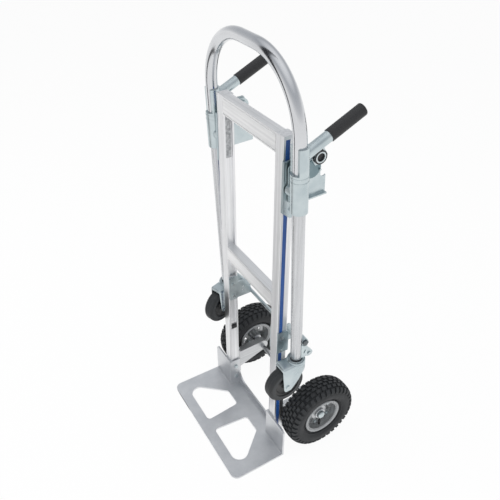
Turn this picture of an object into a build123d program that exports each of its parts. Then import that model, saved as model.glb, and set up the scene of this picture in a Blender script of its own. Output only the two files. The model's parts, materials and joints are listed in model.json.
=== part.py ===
from build123d import *
from math import cos, radians, sin, tan
import os

os.makedirs("parts", exist_ok=True)

# Convertible hand truck, standing upright on its nose plate and two main wheels.
# X runs across the truck, -Y points to the toe of the nose plate, +Z is up.
# The origin is on the ground, midway between the rails, in the plane of their front faces.
SIDES = (("left", -1), ("right", 1))

# Rails and crossbars
RAIL_GAP = 262.0
RAIL_W = 35.0
RAIL_D = 35.0
RAIL_TOP = 1154.0
RAIL_CAP = 10.0
RAIL_WALL = 3.0
RAIL_EDGE = 2.0
SLOT_W = 12.5
SLOT_DEPTH = 3.0
SLOT_Y = 13.0
CHANNEL_W = 22.0
CHANNEL_DEPTH = 8.0
STRIP_INSET = 0.3
BAR_H = 54.0
BAR_D = 30.0
BAR_WALL = 3.0
BAR_GROOVE = 1.2
BAR_GROOVE_EDGE = 6.0
MID_BAR_TOP = 656.0
INSERT_H = 160.0
INSERT_LIFT = 2.0

# Nose plate
NOSE_W = 462.0
NOSE_REACH = 194.0
NOSE_T = 7.0
NOSE_CORNER = 24.0
WING_T = 6.0
WING_H = 126.0
WING_CHAMFER = 8.0
WING_BEND = 2.5
LIP_H = 28.0
LIP_CURVE = 47.0
CUT_FRONT_RIM = 37.0
CUT_REAR_RIM = 30.0
CUT_WEB_FRONT = 46.0
CUT_WEB_REAR = 68.0
CUT_REAR_OUT = 103.0
CUT_FRONT_OUT = 215.0
CUT_RADIUS = 13.0
CUT_OUTER_RADIUS = 30.0

# Main wheels and axle; the wheels stand outside the rails by WHEEL_OFF, and WHEEL_BACK behind their fronts
WHEEL_R = 130.0
WHEEL_OFF = 49.0
WHEEL_BACK = 12.0
TYRE_W = 85.0
TYRE_WALL = 7.0
TYRE_CROWN = 11.0
TYRE_SHOULDER = 6.0
TYRE_SHOULDER_DROP = 13.0
BEAD_R = 60.0
RIM_LIP_R = 67.0
RIM_W = 62.0
RIM_WALL = 3.6
WEB_T = 3.5
WEB_OUT = 6.0
WINDOWS = 5
WINDOW_IN = 31.0
WINDOW_OUT = 52.0
WINDOW_ANGLE = 20.0
WINDOW_FILLET = 4.0
HUB_R = 19.0
HUB_IN = 36.0
HUB_OUT = 18.0
HUB_DISC_R = 29.0
AXLE_D = 16.0
AXLE_TAIL = 29.0
AXLE_PROUD = 3.0
SPACER_R = 13.0
VALVE_R = 3.5
VALVE_LEN = 26.0

# Axle brackets; their bases reach below and above the axle
STRUT_W = 24.0
STRUT_BASE_BELOW = 62.0
STRUT_BASE_ABOVE = 18.0
STRUT_EYE_R = 23.0
STRUT_RIB = 5.0
STRUT_POCKET = 8.0
STRUT_FLANGE_T = 6.0
STRUT_FLANGE_LAP = 14.0

# Handle: one loop and two legs that slide in the pivoting sleeves.
# LOOP_RISE and SPLICE_RISE are heights above the pivot line.
# Its pieces are built upright and then tilted about the pivot line by HANDLE_LEAN.
HANDLE_LEAN = 2.2
TUBE_D = 34.0
TUBE_WALL = 2.4
TUBE_OFF = 49.0
TUBE_Y = 17.0
LOOP_RISE = 319.0
LOOP_BEND = 178.0
LEG_BOTTOM = 451.0
SPLICE_RISE = 46.0
SPLICE_LEN = 90.0
FLUTES = 10
FLUTE_R = 1.5

# Pivoting sleeves with grips and release levers; each RISE is a height above the pivot line, each DROP below it
PIVOT_DOWN = 138.0
PIVOT_D = 12.0
PIVOT_HEAD = 5.0
PIVOT_HEAD_RIM = 1.5
BOSS_R = 16.0
PIVOT_PLATE_T = 5.0
PIVOT_PLATE_DROP = 90.0
PIVOT_PLATE_RISE = 76.0
PIVOT_PLATE_CORNER = 5.0
PIVOT_BOLT_STEP = 62.0
SLEEVE_DROP = 45.0
SLEEVE_FULL_RISE = 63.0
SLEEVE_RISE = 132.0
SLEEVE_WALL = 5.5
SHELL_WRAP = 13.0
BEAD_RISE = 0.8
BEAD_H = 3.0
BEAD_DROPS = (9.0, 21.0)
HANGER_T = 4.0
HANGER_RISE = 72.0
HANGER_FRONT = 7.0
HANGER_REAR = 28.0
HANGER_CORNER = 17.0
GRIP_TILT = 23.5
GRIP_RISE = 100.4
GRIP_START = 89.0
GRIP_LEN = 106.0
GRIP_D = 33.0
GRIP_CAP = 3.8
GRIP_ROUND = 4.0
STUB_D = 29.5
STUB_WALL = 2.5
CHEEK_T = 5.0
CHEEK_R = 27.0
CHEEK_Y = 75.0
CHEEK_RISE = 42.0
CHEEK_NOTCH = 6.0
CHEEK_TIE = 17.0
STOP_PIN_R = 3.0
STOP_PIN_LEN = 6.0
LEVER_Y = 90.0
LEVER_RISE = 75.0
LEVER_T = 4.0
LEVER_EYE = 6.0
BARREL_D = 30.0
BARREL_LEN = 32.0
BARREL_BORE = 22.0
BARREL_FLOOR = 3.0
BARREL_VENT = 6.0
NUT_AF = 42.0
NUT_T = 8.0
PADDLE_FRONT = 58.5
PADDLE_REAR = 121.0
PADDLE_DROP = 42.0
PADDLE_RISE = 10.0
PADDLE_FLANGE = 9.0
PADDLE_BEND = 5.0
PADDLE_SCOOP = 6.0

# Lower brackets and cross rod
ROD_D = 12.0
ROD_Y = 92.0
ROD_Z = 431.0
SEAT_T = 4.0
SEAT_LOW = 428.0
SEAT_TOP = 527.0
SEAT_CORNER = 8.0
SEAT_EAR_LOW = 432.0
SEAT_EAR_TOP = 500.0
SEAT_HOLES = ((53.0, 455.0), (56.0, 470.0), (76.0, 469.0))
SEAT_HOLE_R = 3.0
GUIDE_T = 3.0
GUIDE_LOW = 437.0
GUIDE_TOP = 521.0
GUIDE_REAR = 40.0
BLOCK_LOW = 452.0
BLOCK_TOP = 505.0
BLOCK_WRAP = 7.0
BLOCK_BACK = 13.0
BLOCK_ARM = 12.0
BLOCK_EDGE = 4.0
BLOCK_EAR_R = 12.0
BLOCK_EAR_IN = 9.0
BLOCK_EAR_OUT = 14.0
CLAMP_BOLT_Z = 509.0
CLAMP_BOLT_AF = 18.0
CLAMP_BOLT_LEN = 20.0
LATCH_SLOT = (36.0, 474.0)
LATCH_SLOT_LEN = 15.0
LATCH_SLOT_W = 4.5
LATCH_SLOT_TILT = 70.0

# Casters; the left one rests turned by CASTER_TURN
CASTER_TURN = 17.0
CASTER_R = 62.5
CASTER_W = 36.0
CASTER_Z = 358.0
CASTER_TRAIL = 44.0
CASTER_HUB_R = 42.0
CASTER_ROUND = 10.0
CORE_INSET = 4.0
CORE_BOSS_R = 12.0
CASTER_AXLE_D = 10.0
CASTER_AXLE_HEAD = 3.0
CROWN_Z = 438.0
CROWN_T = 5.0
CROWN_R = 27.5
CROWN_FRONT = 60.0
CROWN_CORNER = 5.0
CROWN_EDGE = 2.0
FORK_W = 48.0
FORK_T = 4.0
FORK_KNEE = 40.0
FORK_FOOT_FRONT = 13.0
FORK_FOOT_REAR = 15.0
FORK_FOOT_DROP = 18.0
FORK_FOOT_ROUND = 8.0
RACE_R = 26.0
RACE_H = 6.0
UPPER_RACE = 1.0
STEM_R = 6.0
STEM_NUT = 4.0
STEM_NUT_H = 5.0

# Fasteners
BOLT_D = 8.0
BOLT_AF = 13.0
BOLT_HEAD = 4.5
BOLT_LINE = 25.0
LOWER_BOLT_Y = 17.0
FLUSH_HEAD_T = 1.5
LOWER_BOLT_INSET = 18.0
LOWER_BOLT_STEP = 48.0
NOSE_BOLT_Y = 18.0
STRUT_BOLT_EDGE = 6.5
STRUT_BOLT_R = 5.5

# Clearances
TOUCH = 0.1
RUN = 0.05
SLIDE_FIT = 0.3
GAP = 0.3
PASS = 0.5

# Derived layout
RAIL_IN = RAIL_GAP / 2
RAIL_OUT = RAIL_IN + RAIL_W
RAIL_X = RAIL_IN + RAIL_W / 2
RAIL_BASE = NOSE_T
OUTER_WALL = SLOT_DEPTH + RAIL_WALL
CORE_IN = RAIL_IN + CHANNEL_DEPTH + RAIL_WALL
CORE_OUT = RAIL_OUT - OUTER_WALL
TOP_BAR_Z = RAIL_TOP - BAR_H / 2
MID_BAR_Z = MID_BAR_TOP - BAR_H / 2
WHEEL_X = RAIL_OUT + WHEEL_OFF
WHEEL_Y = WHEEL_BACK + WHEEL_R
STRUT_BASE_LOW = WHEEL_R - STRUT_BASE_BELOW
STRUT_BASE_HIGH = WHEEL_R + STRUT_BASE_ABOVE
TUBE_X = RAIL_OUT + TUBE_OFF
TUBE_R = TUBE_D / 2
PIVOT_Z = RAIL_TOP - PIVOT_DOWN
PIVOT_PLATE_LOW = PIVOT_Z - PIVOT_PLATE_DROP
PIVOT_PLATE_TOP = PIVOT_Z + PIVOT_PLATE_RISE
SLEEVE_LOW = PIVOT_Z - SLEEVE_DROP
SLEEVE_FULL = PIVOT_Z + SLEEVE_FULL_RISE
SLEEVE_TOP = PIVOT_Z + SLEEVE_RISE
HANGER_TOP = PIVOT_Z + HANGER_RISE
GRIP_Z = PIVOT_Z + GRIP_RISE
CHEEK_Z = PIVOT_Z + CHEEK_RISE
LEVER_Z = PIVOT_Z + LEVER_RISE
PADDLE_LOW = PIVOT_Z - PADDLE_DROP
PADDLE_TOP = PIVOT_Z + PADDLE_RISE
LEG_SPLICE = PIVOT_Z + SPLICE_RISE
LOOP_TOP = PIVOT_Z + LOOP_RISE
SLEEVE_BORE = TUBE_R + SLIDE_FIT
SLEEVE_R = SLEEVE_BORE + SLEEVE_WALL
PLATE_OUT = RAIL_OUT + PIVOT_PLATE_T
SWING_X = PLATE_OUT + BOLT_HEAD + PASS
BOSS_OUT = TUBE_X - SLEEVE_BORE - PASS
CHEEK_IN = SWING_X + LEVER_T + 1.0
CHEEK_OUT = CHEEK_IN + CHEEK_T
BARREL_IN = RAIL_OUT + 2 * PASS
AXLE_END = WHEEL_X + AXLE_TAIL
STRUT_OUT = RAIL_X + STRUT_W / 2
DRUM_R = BEAD_R - TOUCH
VALVE_X = WHEEL_X + (WEB_OUT + RIM_W / 2) / 2
FORK_IN = FORK_W / 2 - FORK_T
CASTER_Y = TUBE_Y - CASTER_TRAIL
RACE_MID = CROWN_Z + RACE_H
CASTER_AXLE_R = CASTER_AXLE_D / 2
BOLT_R = BOLT_D / 2
BLOCK_REAR = TUBE_Y + TUBE_R + BLOCK_BACK
CLAMP_BOLT_Y = TUBE_Y + TUBE_R + BOLT_R + PASS
EAR_TOP = CLAMP_BOLT_Z + BLOCK_EAR_R
# The cross rod's place while the handle is still upright.
LEAN = radians(HANDLE_LEAN)
ROD_UP_Y = TUBE_Y + (ROD_Y - TUBE_Y) * cos(LEAN) + (ROD_Z - PIVOT_Z) * sin(LEAN)
ROD_UP_Z = PIVOT_Z - (ROD_Y - TUBE_Y) * sin(LEAN) + (ROD_Z - PIVOT_Z) * cos(LEAN)

# Bolt stations
PIVOT_BOLT_Z = (PIVOT_Z - PIVOT_BOLT_STEP, PIVOT_Z + PIVOT_BOLT_STEP)
LOWER_BOLT_Z = (SEAT_LOW + LOWER_BOLT_INSET, SEAT_LOW + LOWER_BOLT_INSET + LOWER_BOLT_STEP)
NOSE_BOLT_Z = (WING_H / 3, WING_H * 3 / 4)
STRUT_BOLT_Z = (
    STRUT_BASE_LOW - STRUT_FLANGE_LAP + STRUT_BOLT_EDGE,
    STRUT_BASE_HIGH + STRUT_FLANGE_LAP - STRUT_BOLT_EDGE,
)


def bore_x(x, y, z, radius, length):
    """Cut a round hole along X, centred on the point."""
    with Locations((x, y, z)):
        Cylinder(radius, length, rotation=(0, 90, 0), mode=Mode.SUBTRACT)


def rod_x(x, y, z, radius, length):
    """Add a round bar along X, centred on the point."""
    with Locations((x, y, z)):
        Cylinder(radius, length, rotation=(0, 90, 0))


def bolt_x(x, y, z, way, length, across=BOLT_AF):
    """Add a hexagon bolt: the head stands on the plane X = x and points along way."""
    seat = Plane((x, y, z), x_dir=(0, 1, 0), z_dir=(way, 0, 0))
    with BuildSketch(seat) as head:
        RegularPolygon(across / 2, 6, major_radius=False)
    extrude(head.sketch, amount=BOLT_HEAD)
    with BuildSketch(seat) as shank:
        Circle(BOLT_R)
    extrude(shank.sketch, amount=-length)


def leaned(part):
    """Tilt a piece that was built upright to the rest lean of the handle."""
    return part.rotate(Axis((0, TUBE_Y, PIVOT_Z), (1, 0, 0)), HANDLE_LEAN)


def turned(part, side, s):
    """Turn a piece of a caster about its stem to its rest direction, then lean it."""
    turn = CASTER_TURN if side == "left" else 0
    return leaned(part.rotate(Axis((s * TUBE_X, TUBE_Y, 0), (0, 0, 1)), turn))


def rail(side, s):
    """Extruded rail: hollow core, outer strip slot, a channel on the inner face and a closed top."""
    with BuildPart() as rail:
        with BuildSketch(Plane.XY.offset(RAIL_BASE)):
            with Locations((s * RAIL_X, RAIL_D / 2)):
                RectangleRounded(RAIL_W, RAIL_D, RAIL_EDGE)
            with Locations((s * (CORE_IN + CORE_OUT) / 2, RAIL_D / 2)):
                Rectangle(CORE_OUT - CORE_IN, RAIL_D - 2 * RAIL_WALL, mode=Mode.SUBTRACT)
            with Locations((s * (RAIL_OUT - SLOT_DEPTH / 2), SLOT_Y)):
                Rectangle(SLOT_DEPTH, SLOT_W, mode=Mode.SUBTRACT)
            with Locations((s * (RAIL_IN + CHANNEL_DEPTH / 2), RAIL_D / 2)):
                Rectangle(CHANNEL_DEPTH, CHANNEL_W, mode=Mode.SUBTRACT)
        extrude(amount=RAIL_TOP - RAIL_CAP - RAIL_BASE)
        with BuildSketch(Plane.XY.offset(RAIL_TOP - RAIL_CAP)):
            with Locations((s * RAIL_X, RAIL_D / 2)):
                RectangleRounded(RAIL_W, RAIL_D, RAIL_EDGE)
        extrude(amount=RAIL_CAP)
        bore_x(s * RAIL_OUT, TUBE_Y, PIVOT_Z, PIVOT_D / 2 + TOUCH, 2 * OUTER_WALL)
        for z in PIVOT_BOLT_Z:
            bore_x(s * RAIL_OUT, BOLT_LINE, z, BOLT_R + TOUCH, 2 * OUTER_WALL)
        for z in LOWER_BOLT_Z:
            bore_x(s * RAIL_X, LOWER_BOLT_Y, z, BOLT_R + TOUCH, 2 * RAIL_W)
        for z in NOSE_BOLT_Z:
            bore_x(s * RAIL_IN, NOSE_BOLT_Y, z, BOLT_R + TOUCH, 2 * (CORE_IN - RAIL_IN))
        for z in STRUT_BOLT_Z:
            with Locations((s * RAIL_X, RAIL_D, z)):
                Cylinder(BOLT_R + TOUCH, 3 * RAIL_WALL, rotation=(90, 0, 0), mode=Mode.SUBTRACT)
    rail.part.label = f"rail_{side}"
    export_step(rail.part, f"parts/rail_{side}.step")


def slot_strip(side, s):
    """Coloured strip pressed into the outer slot of the rail."""
    with BuildPart() as strip:
        with BuildSketch(Plane.XY.offset(RAIL_BASE)):
            with Locations((s * (RAIL_OUT - SLOT_DEPTH / 2 - STRIP_INSET / 2), SLOT_Y)):
                Rectangle(SLOT_DEPTH - STRIP_INSET, SLOT_W)
        extrude(amount=RAIL_TOP - RAIL_CAP - RAIL_BASE)
        bore_x(s * RAIL_OUT, TUBE_Y, PIVOT_Z, PIVOT_D / 2 + TOUCH, 2 * OUTER_WALL)
        for z in LOWER_BOLT_Z:
            bore_x(s * RAIL_OUT, LOWER_BOLT_Y, z, BOLT_R + TOUCH, 2 * OUTER_WALL)
    strip.part.label = f"slot_strip_{side}"
    export_step(strip.part, f"parts/slot_strip_{side}.step")


def crossbar(name, z):
    """Hollow crossbar butted between the rails, with a shallow groove near each edge of its face."""
    groove = BAR_H / 2 - BAR_GROOVE_EDGE
    with BuildPart() as bar:
        with BuildSketch(Plane.YZ.offset(-RAIL_IN)):
            with Locations((BAR_D / 2, z)):
                RectangleRounded(BAR_D, BAR_H, RAIL_EDGE)
                Rectangle(BAR_D - 2 * BAR_WALL, BAR_H - 2 * BAR_WALL, mode=Mode.SUBTRACT)
            with Locations((0, z + groove), (0, z - groove)):
                Rectangle(2 * BAR_GROOVE, 2 * BAR_GROOVE, mode=Mode.SUBTRACT)
        extrude(amount=RAIL_GAP)
    bar.part.label = name
    export_step(bar.part, f"parts/{name}.step")


def channel_inserts():
    """Stiffening bars in the inner channels of the rails, above the nose plate ears."""
    with BuildPart() as inserts:
        for side, s in SIDES:
            with BuildSketch(Plane.XY.offset(WING_H + INSERT_LIFT)):
                with Locations((s * (RAIL_IN + CHANNEL_DEPTH / 2), RAIL_D / 2)):
                    Rectangle(CHANNEL_DEPTH - 2 * TOUCH, CHANNEL_W - 2 * TOUCH)
            extrude(amount=INSERT_H)
    inserts.part.label = "channel_inserts"
    export_step(inserts.part, "parts/channel_inserts.step")


def nose_cut(s):
    """Cut one slanted opening through the toe plate, wide at the front and tight at the rear."""
    front = -NOSE_REACH + CUT_FRONT_RIM
    with BuildSketch() as cut:
        with BuildLine():
            Polyline(
                (s * CUT_WEB_FRONT / 2, front),
                (s * CUT_WEB_REAR / 2, -CUT_REAR_RIM),
                (s * CUT_REAR_OUT, -CUT_REAR_RIM),
                (s * CUT_FRONT_OUT, front),
                close=True,
            )
        make_face()
        fillet(cut.vertices().sort_by(Axis.X)[-1 if s > 0 else 0], CUT_OUTER_RADIUS)
        fillet([v for v in cut.vertices() if abs(v.X) < CUT_REAR_OUT + 1], CUT_RADIUS)
    extrude(cut.sketch, amount=NOSE_T, mode=Mode.SUBTRACT)


def nose_wing(s):
    """Add the upright wing in front of one rail and the ear that is bolted inside it."""
    ear_in = RAIL_IN - WING_T
    with BuildSketch(Plane.XZ) as wing:
        with BuildLine():
            Polyline(
                (s * ear_in, 0),
                (s * NOSE_W / 2, 0),
                (s * NOSE_W / 2, WING_H - WING_CHAMFER),
                (s * (NOSE_W / 2 - WING_CHAMFER), WING_H),
                (s * ear_in, WING_H),
                close=True,
            )
        make_face()
    extrude(wing.sketch, amount=WING_T)
    with BuildSketch(Plane.YZ.offset(s * RAIL_IN)) as ear:
        with Locations(((RAIL_D - WING_T) / 2, WING_H / 2)):
            Rectangle(RAIL_D + WING_T, WING_H)
    extrude(ear.sketch, amount=-s * WING_T)


def nose_lip():
    """Add the rear lip that rises in two large curves into the ears."""
    ear_in = RAIL_IN - WING_T
    with BuildSketch(Plane.XZ.offset(-RAIL_D)) as lip:
        with BuildLine():
            FilletPolyline(
                (ear_in, WING_H), (ear_in, LIP_H), (-ear_in, LIP_H), (-ear_in, WING_H), radius=LIP_CURVE
            )
            Polyline((-ear_in, WING_H), (-RAIL_IN, WING_H), (-RAIL_IN, 0))
            Polyline((-RAIL_IN, 0), (RAIL_IN, 0), (RAIL_IN, WING_H), (ear_in, WING_H))
        make_face()
    extrude(lip.sketch, amount=WING_T)


def nose_plate():
    """Toe plate with two cut-outs, front wings, a rear lip and ears beside the rails."""
    with BuildPart() as nose:
        with BuildSketch():
            with Locations((0, -NOSE_REACH / 2)):
                Rectangle(NOSE_W, NOSE_REACH)
            with Locations((0, RAIL_D / 2)):
                Rectangle(2 * RAIL_OUT, RAIL_D)
        extrude(amount=NOSE_T)
        fillet(nose.edges().filter_by(Axis.Z).group_by(Axis.Y)[0], NOSE_CORNER)
        for side, s in SIDES:
            nose_cut(s)
            nose_wing(s)
        nose_lip()
        bend = nose.edges().filter_by(Axis.X).filter_by_position(Axis.Y, -WING_T - TOUCH, -WING_T + TOUCH)
        fillet(bend.filter_by_position(Axis.Z, NOSE_T - TOUCH, NOSE_T + TOUCH), WING_BEND)
        for side, s in SIDES:
            for z in NOSE_BOLT_Z:
                bore_x(s * (RAIL_IN - WING_T / 2), NOSE_BOLT_Y, z, BOLT_R + TOUCH, 2 * WING_T)
    nose.part.label = "nose_plate"
    export_step(nose.part, "parts/nose_plate.step")


def axle_bracket(side, s):
    """Strut from the back of the rail down to the eye that holds the axle, ribbed on its outer face."""
    pocket_front = RAIL_D + STRUT_FLANGE_T + STRUT_RIB
    pocket_rear = WHEEL_Y - STRUT_EYE_R - STRUT_RIB
    with BuildPart() as strut:
        with BuildSketch(Plane.YZ.offset(s * RAIL_X - STRUT_W / 2)):
            with BuildLine():
                Polyline(
                    (RAIL_D, STRUT_BASE_LOW),
                    (WHEEL_Y, WHEEL_R - STRUT_EYE_R),
                    (WHEEL_Y, WHEEL_R + STRUT_EYE_R),
                    (RAIL_D, STRUT_BASE_HIGH),
                    close=True,
                )
            make_face()
            with Locations((WHEEL_Y, WHEEL_R)):
                Circle(STRUT_EYE_R)
        extrude(amount=STRUT_W)
        with BuildSketch(Plane.YZ.offset(s * RAIL_X - RAIL_W / 2)):
            with Locations((RAIL_D + STRUT_FLANGE_T / 2, (STRUT_BASE_LOW + STRUT_BASE_HIGH) / 2)):
                Rectangle(STRUT_FLANGE_T, STRUT_BASE_HIGH - STRUT_BASE_LOW + 2 * STRUT_FLANGE_LAP)
        extrude(amount=RAIL_W)
        with BuildSketch(Plane.YZ.offset(s * STRUT_OUT)) as pocket:
            with BuildLine():
                Polyline(
                    (pocket_front, STRUT_BASE_LOW + 2 * STRUT_RIB),
                    (pocket_rear, WHEEL_R - STRUT_EYE_R + STRUT_RIB),
                    (pocket_rear, WHEEL_R + STRUT_EYE_R - 2 * STRUT_RIB),
                    (pocket_front, STRUT_BASE_HIGH - 2 * STRUT_RIB),
                    close=True,
                )
            make_face()
            fillet(pocket.vertices(), STRUT_RIB)
        extrude(amount=-s * STRUT_POCKET, mode=Mode.SUBTRACT)
        bore_x(s * RAIL_X, WHEEL_Y, WHEEL_R, AXLE_D / 2 + TOUCH, 2 * STRUT_W)
        for z in STRUT_BOLT_Z:
            with Locations((s * RAIL_X, RAIL_D, z)):
                Cylinder(BOLT_R + TOUCH, 4 * STRUT_FLANGE_T, rotation=(90, 0, 0), mode=Mode.SUBTRACT)
    strut.part.label = f"axle_bracket_{side}"
    export_step(strut.part, f"parts/axle_bracket_{side}.step")


def nose_bolts():
    """Bolts that hold the ears of the nose plate in the inner channels of the rails."""
    with BuildPart() as bolts:
        for side, s in SIDES:
            for z in NOSE_BOLT_Z:
                bolt_x(s * (RAIL_IN - WING_T), NOSE_BOLT_Y, z, -s, WING_T + CHANNEL_DEPTH + 2 * RAIL_WALL)
    bolts.part.label = "nose_bolts"
    export_step(bolts.part, "parts/nose_bolts.step")


def strut_bolts():
    """Round-headed bolts that hold the axle brackets to the backs of the rails."""
    with BuildPart() as bolts:
        for side, s in SIDES:
            for z in STRUT_BOLT_Z:
                seat = Plane((s * RAIL_X, RAIL_D + STRUT_FLANGE_T, z), x_dir=(1, 0, 0), z_dir=(0, 1, 0))
                with BuildSketch(seat):
                    Circle(STRUT_BOLT_R)
                extrude(amount=BOLT_HEAD)
                with BuildSketch(seat):
                    Circle(BOLT_R)
                extrude(amount=-STRUT_FLANGE_T - 2 * RAIL_WALL)
    bolts.part.label = "strut_bolts"
    export_step(bolts.part, "parts/strut_bolts.step")


def pivot_plate_bolts():
    """Bolts above and below each pivot."""
    with BuildPart() as bolts:
        for side, s in SIDES:
            for z in PIVOT_BOLT_Z:
                bolt_x(s * PLATE_OUT, BOLT_LINE, z, s, PIVOT_PLATE_T + OUTER_WALL + BOLT_R / 2)
    bolts.part.label = "pivot_plate_bolts"
    export_step(bolts.part, "parts/pivot_plate_bolts.step")


def lower_bracket_bolts():
    """Bolts from the seat plate through the rail, with heads let flush into the guide plate."""
    head_x = RAIL_OUT + GUIDE_T - FLUSH_HEAD_T / 2
    with BuildPart() as bolts:
        for side, s in SIDES:
            for z in LOWER_BOLT_Z:
                rod_x(s * head_x, LOWER_BOLT_Y, z, BOLT_AF / 2, FLUSH_HEAD_T)
                rod_x(s * (RAIL_IN - SEAT_T + head_x) / 2, LOWER_BOLT_Y, z, BOLT_R, head_x - RAIL_IN + SEAT_T)
                with BuildSketch(Plane.YZ.offset(s * (RAIL_IN - SEAT_T))):
                    with Locations((LOWER_BOLT_Y, z)):
                        Circle(BOLT_AF / 2)
                extrude(amount=-s * BOLT_HEAD / 2)
    bolts.part.label = "lower_bracket_bolts"
    export_step(bolts.part, "parts/lower_bracket_bolts.step")


def collars(name, inner, outer):
    """Pair of collars on the axle, one on each side between the two distances from the middle."""
    with BuildPart() as pair:
        for side, s in SIDES:
            rod_x(s * (inner + outer) / 2, WHEEL_Y, WHEEL_R, SPACER_R, outer - inner)
            bore_x(s * (inner + outer) / 2, WHEEL_Y, WHEEL_R, AXLE_D / 2 + TOUCH, 2 * (outer - inner))
    pair.part.label = name
    export_step(pair.part, f"parts/{name}.step")


def axle():
    """Straight axle through both brackets and both wheels."""
    with BuildPart() as axle:
        rod_x(0, WHEEL_Y, WHEEL_R, AXLE_D / 2, 2 * AXLE_END)
    axle.part.label = "axle"
    export_step(axle.part, "parts/axle.step")


def wheel_section(s):
    """Plane through the axis of a main wheel: local x runs along the axle, local y is the radius."""
    return Plane((s * WHEEL_X, WHEEL_Y, WHEEL_R), x_dir=(1, 0, 0), z_dir=(0, -1, 0))


def wheel_axis(s):
    """Spin axis of a main wheel."""
    return Axis((s * WHEEL_X, WHEEL_Y, WHEEL_R), (1, 0, 0))


def main_tyre(side, s):
    """Pneumatic tyre carcass: beads on the rim, rounded sidewalls and crown, hollow inside."""
    seat = RIM_W / 2 - RIM_WALL - TOUCH
    half = TYRE_W / 2
    flank_r = (WHEEL_R + RIM_LIP_R) / 2
    shoulder = half - TYRE_SHOULDER
    shoulder_r = WHEEL_R - TYRE_SHOULDER_DROP
    foot_r = RIM_LIP_R + 1
    foot = seat + RIM_WALL + 1
    toe = seat - TYRE_WALL + 1
    with BuildPart() as tyre:
        with BuildSketch(wheel_section(s)):
            with BuildLine():
                Polyline((foot, foot_r), (seat, foot_r), (seat, BEAD_R), (-seat, BEAD_R))
                Polyline((-seat, BEAD_R), (-seat, foot_r), (-foot, foot_r))
                ThreePointArc((-foot, foot_r), (-half, flank_r), (-shoulder, shoulder_r))
                ThreePointArc((-shoulder, shoulder_r), (0, WHEEL_R), (shoulder, shoulder_r))
                ThreePointArc((shoulder, shoulder_r), (half, flank_r), (foot, foot_r))
            make_face()
            with BuildLine():
                Polyline(
                    (-toe, BEAD_R - 1),
                    (-toe, foot_r + TYRE_WALL / 2),
                    (-half + TYRE_WALL + 1, flank_r),
                    (-shoulder + TYRE_WALL, WHEEL_R - TYRE_CROWN - TYRE_WALL / 2),
                    (0, WHEEL_R - TYRE_CROWN),
                    (shoulder - TYRE_WALL, WHEEL_R - TYRE_CROWN - TYRE_WALL / 2),
                    (half - TYRE_WALL - 1, flank_r),
                    (toe, foot_r + TYRE_WALL / 2),
                    (toe, BEAD_R - 1),
                    close=True,
                )
            make_face(mode=Mode.SUBTRACT)
        revolve(axis=wheel_axis(s))
    tyre.part.label = f"main_tyre_{side}"
    export_step(tyre.part, f"parts/main_tyre_{side}.step")


def main_rim(side, s):
    """Stamped rim: drum with two flanges, and a web with trapezoid windows nearer the outside."""
    lip = RIM_W / 2
    flange_mid = (DRUM_R - RIM_WALL + RIM_LIP_R) / 2
    flange_h = RIM_LIP_R - DRUM_R + RIM_WALL
    half = sin(radians(WINDOW_ANGLE))
    with BuildPart() as rim:
        with BuildSketch(wheel_section(s)):
            with Locations((0, DRUM_R - RIM_WALL / 2)):
                Rectangle(RIM_W, RIM_WALL)
            with Locations((lip - RIM_WALL / 2, flange_mid), (-lip + RIM_WALL / 2, flange_mid)):
                Rectangle(RIM_WALL, flange_h)
            with Locations((s * WEB_OUT, (HUB_R + TOUCH + DRUM_R) / 2)):
                Rectangle(WEB_T, DRUM_R - HUB_R - TOUCH)
        revolve(axis=wheel_axis(s))
        with BuildSketch(Plane.YZ.offset(s * (WHEEL_X + WEB_OUT) - WEB_T)) as windows:
            with Locations((WHEEL_Y, WHEEL_R)):
                with PolarLocations(0, WINDOWS):
                    Polygon(
                        (WINDOW_IN, -WINDOW_IN * half),
                        (WINDOW_OUT, -WINDOW_OUT * half),
                        (WINDOW_OUT, WINDOW_OUT * half),
                        (WINDOW_IN, WINDOW_IN * half),
                        align=None,
                    )
            fillet(windows.vertices(), WINDOW_FILLET)
        extrude(amount=2 * WEB_T, mode=Mode.SUBTRACT)
        with Locations((s * VALVE_X, WHEEL_Y, WHEEL_R - DRUM_R)):
            Cylinder(VALVE_R + TOUCH, 4 * RIM_WALL, mode=Mode.SUBTRACT)
    rim.part.label = f"main_rim_{side}"
    export_step(rim.part, f"parts/main_rim_{side}.step")


def valve_stem(side, s):
    """Valve that stands inwards from the drum of the rim."""
    with BuildPart() as valve:
        with Locations((s * VALVE_X, WHEEL_Y, WHEEL_R - DRUM_R + VALVE_LEN / 2)):
            Cylinder(VALVE_R, VALVE_LEN)
    valve.part.label = f"valve_stem_{side}"
    export_step(valve.part, f"parts/valve_stem_{side}.step")


def main_hub(side, s):
    """Hub barrel on the axle, with a disc against the web of the rim."""
    inner = AXLE_D / 2 + RUN
    with BuildPart() as hub:
        with BuildSketch(wheel_section(s)):
            with Locations((s * (HUB_OUT - HUB_IN) / 2, (inner + HUB_R) / 2)):
                Rectangle(HUB_OUT + HUB_IN, HUB_R - inner)
            with Locations((s * (WEB_OUT + WEB_T), (HUB_R + HUB_DISC_R) / 2 - 1)):
                Rectangle(WEB_T, HUB_DISC_R - HUB_R + 2)
        revolve(axis=wheel_axis(s))
    hub.part.label = f"main_hub_{side}"
    export_step(hub.part, f"parts/main_hub_{side}.step")


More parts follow.
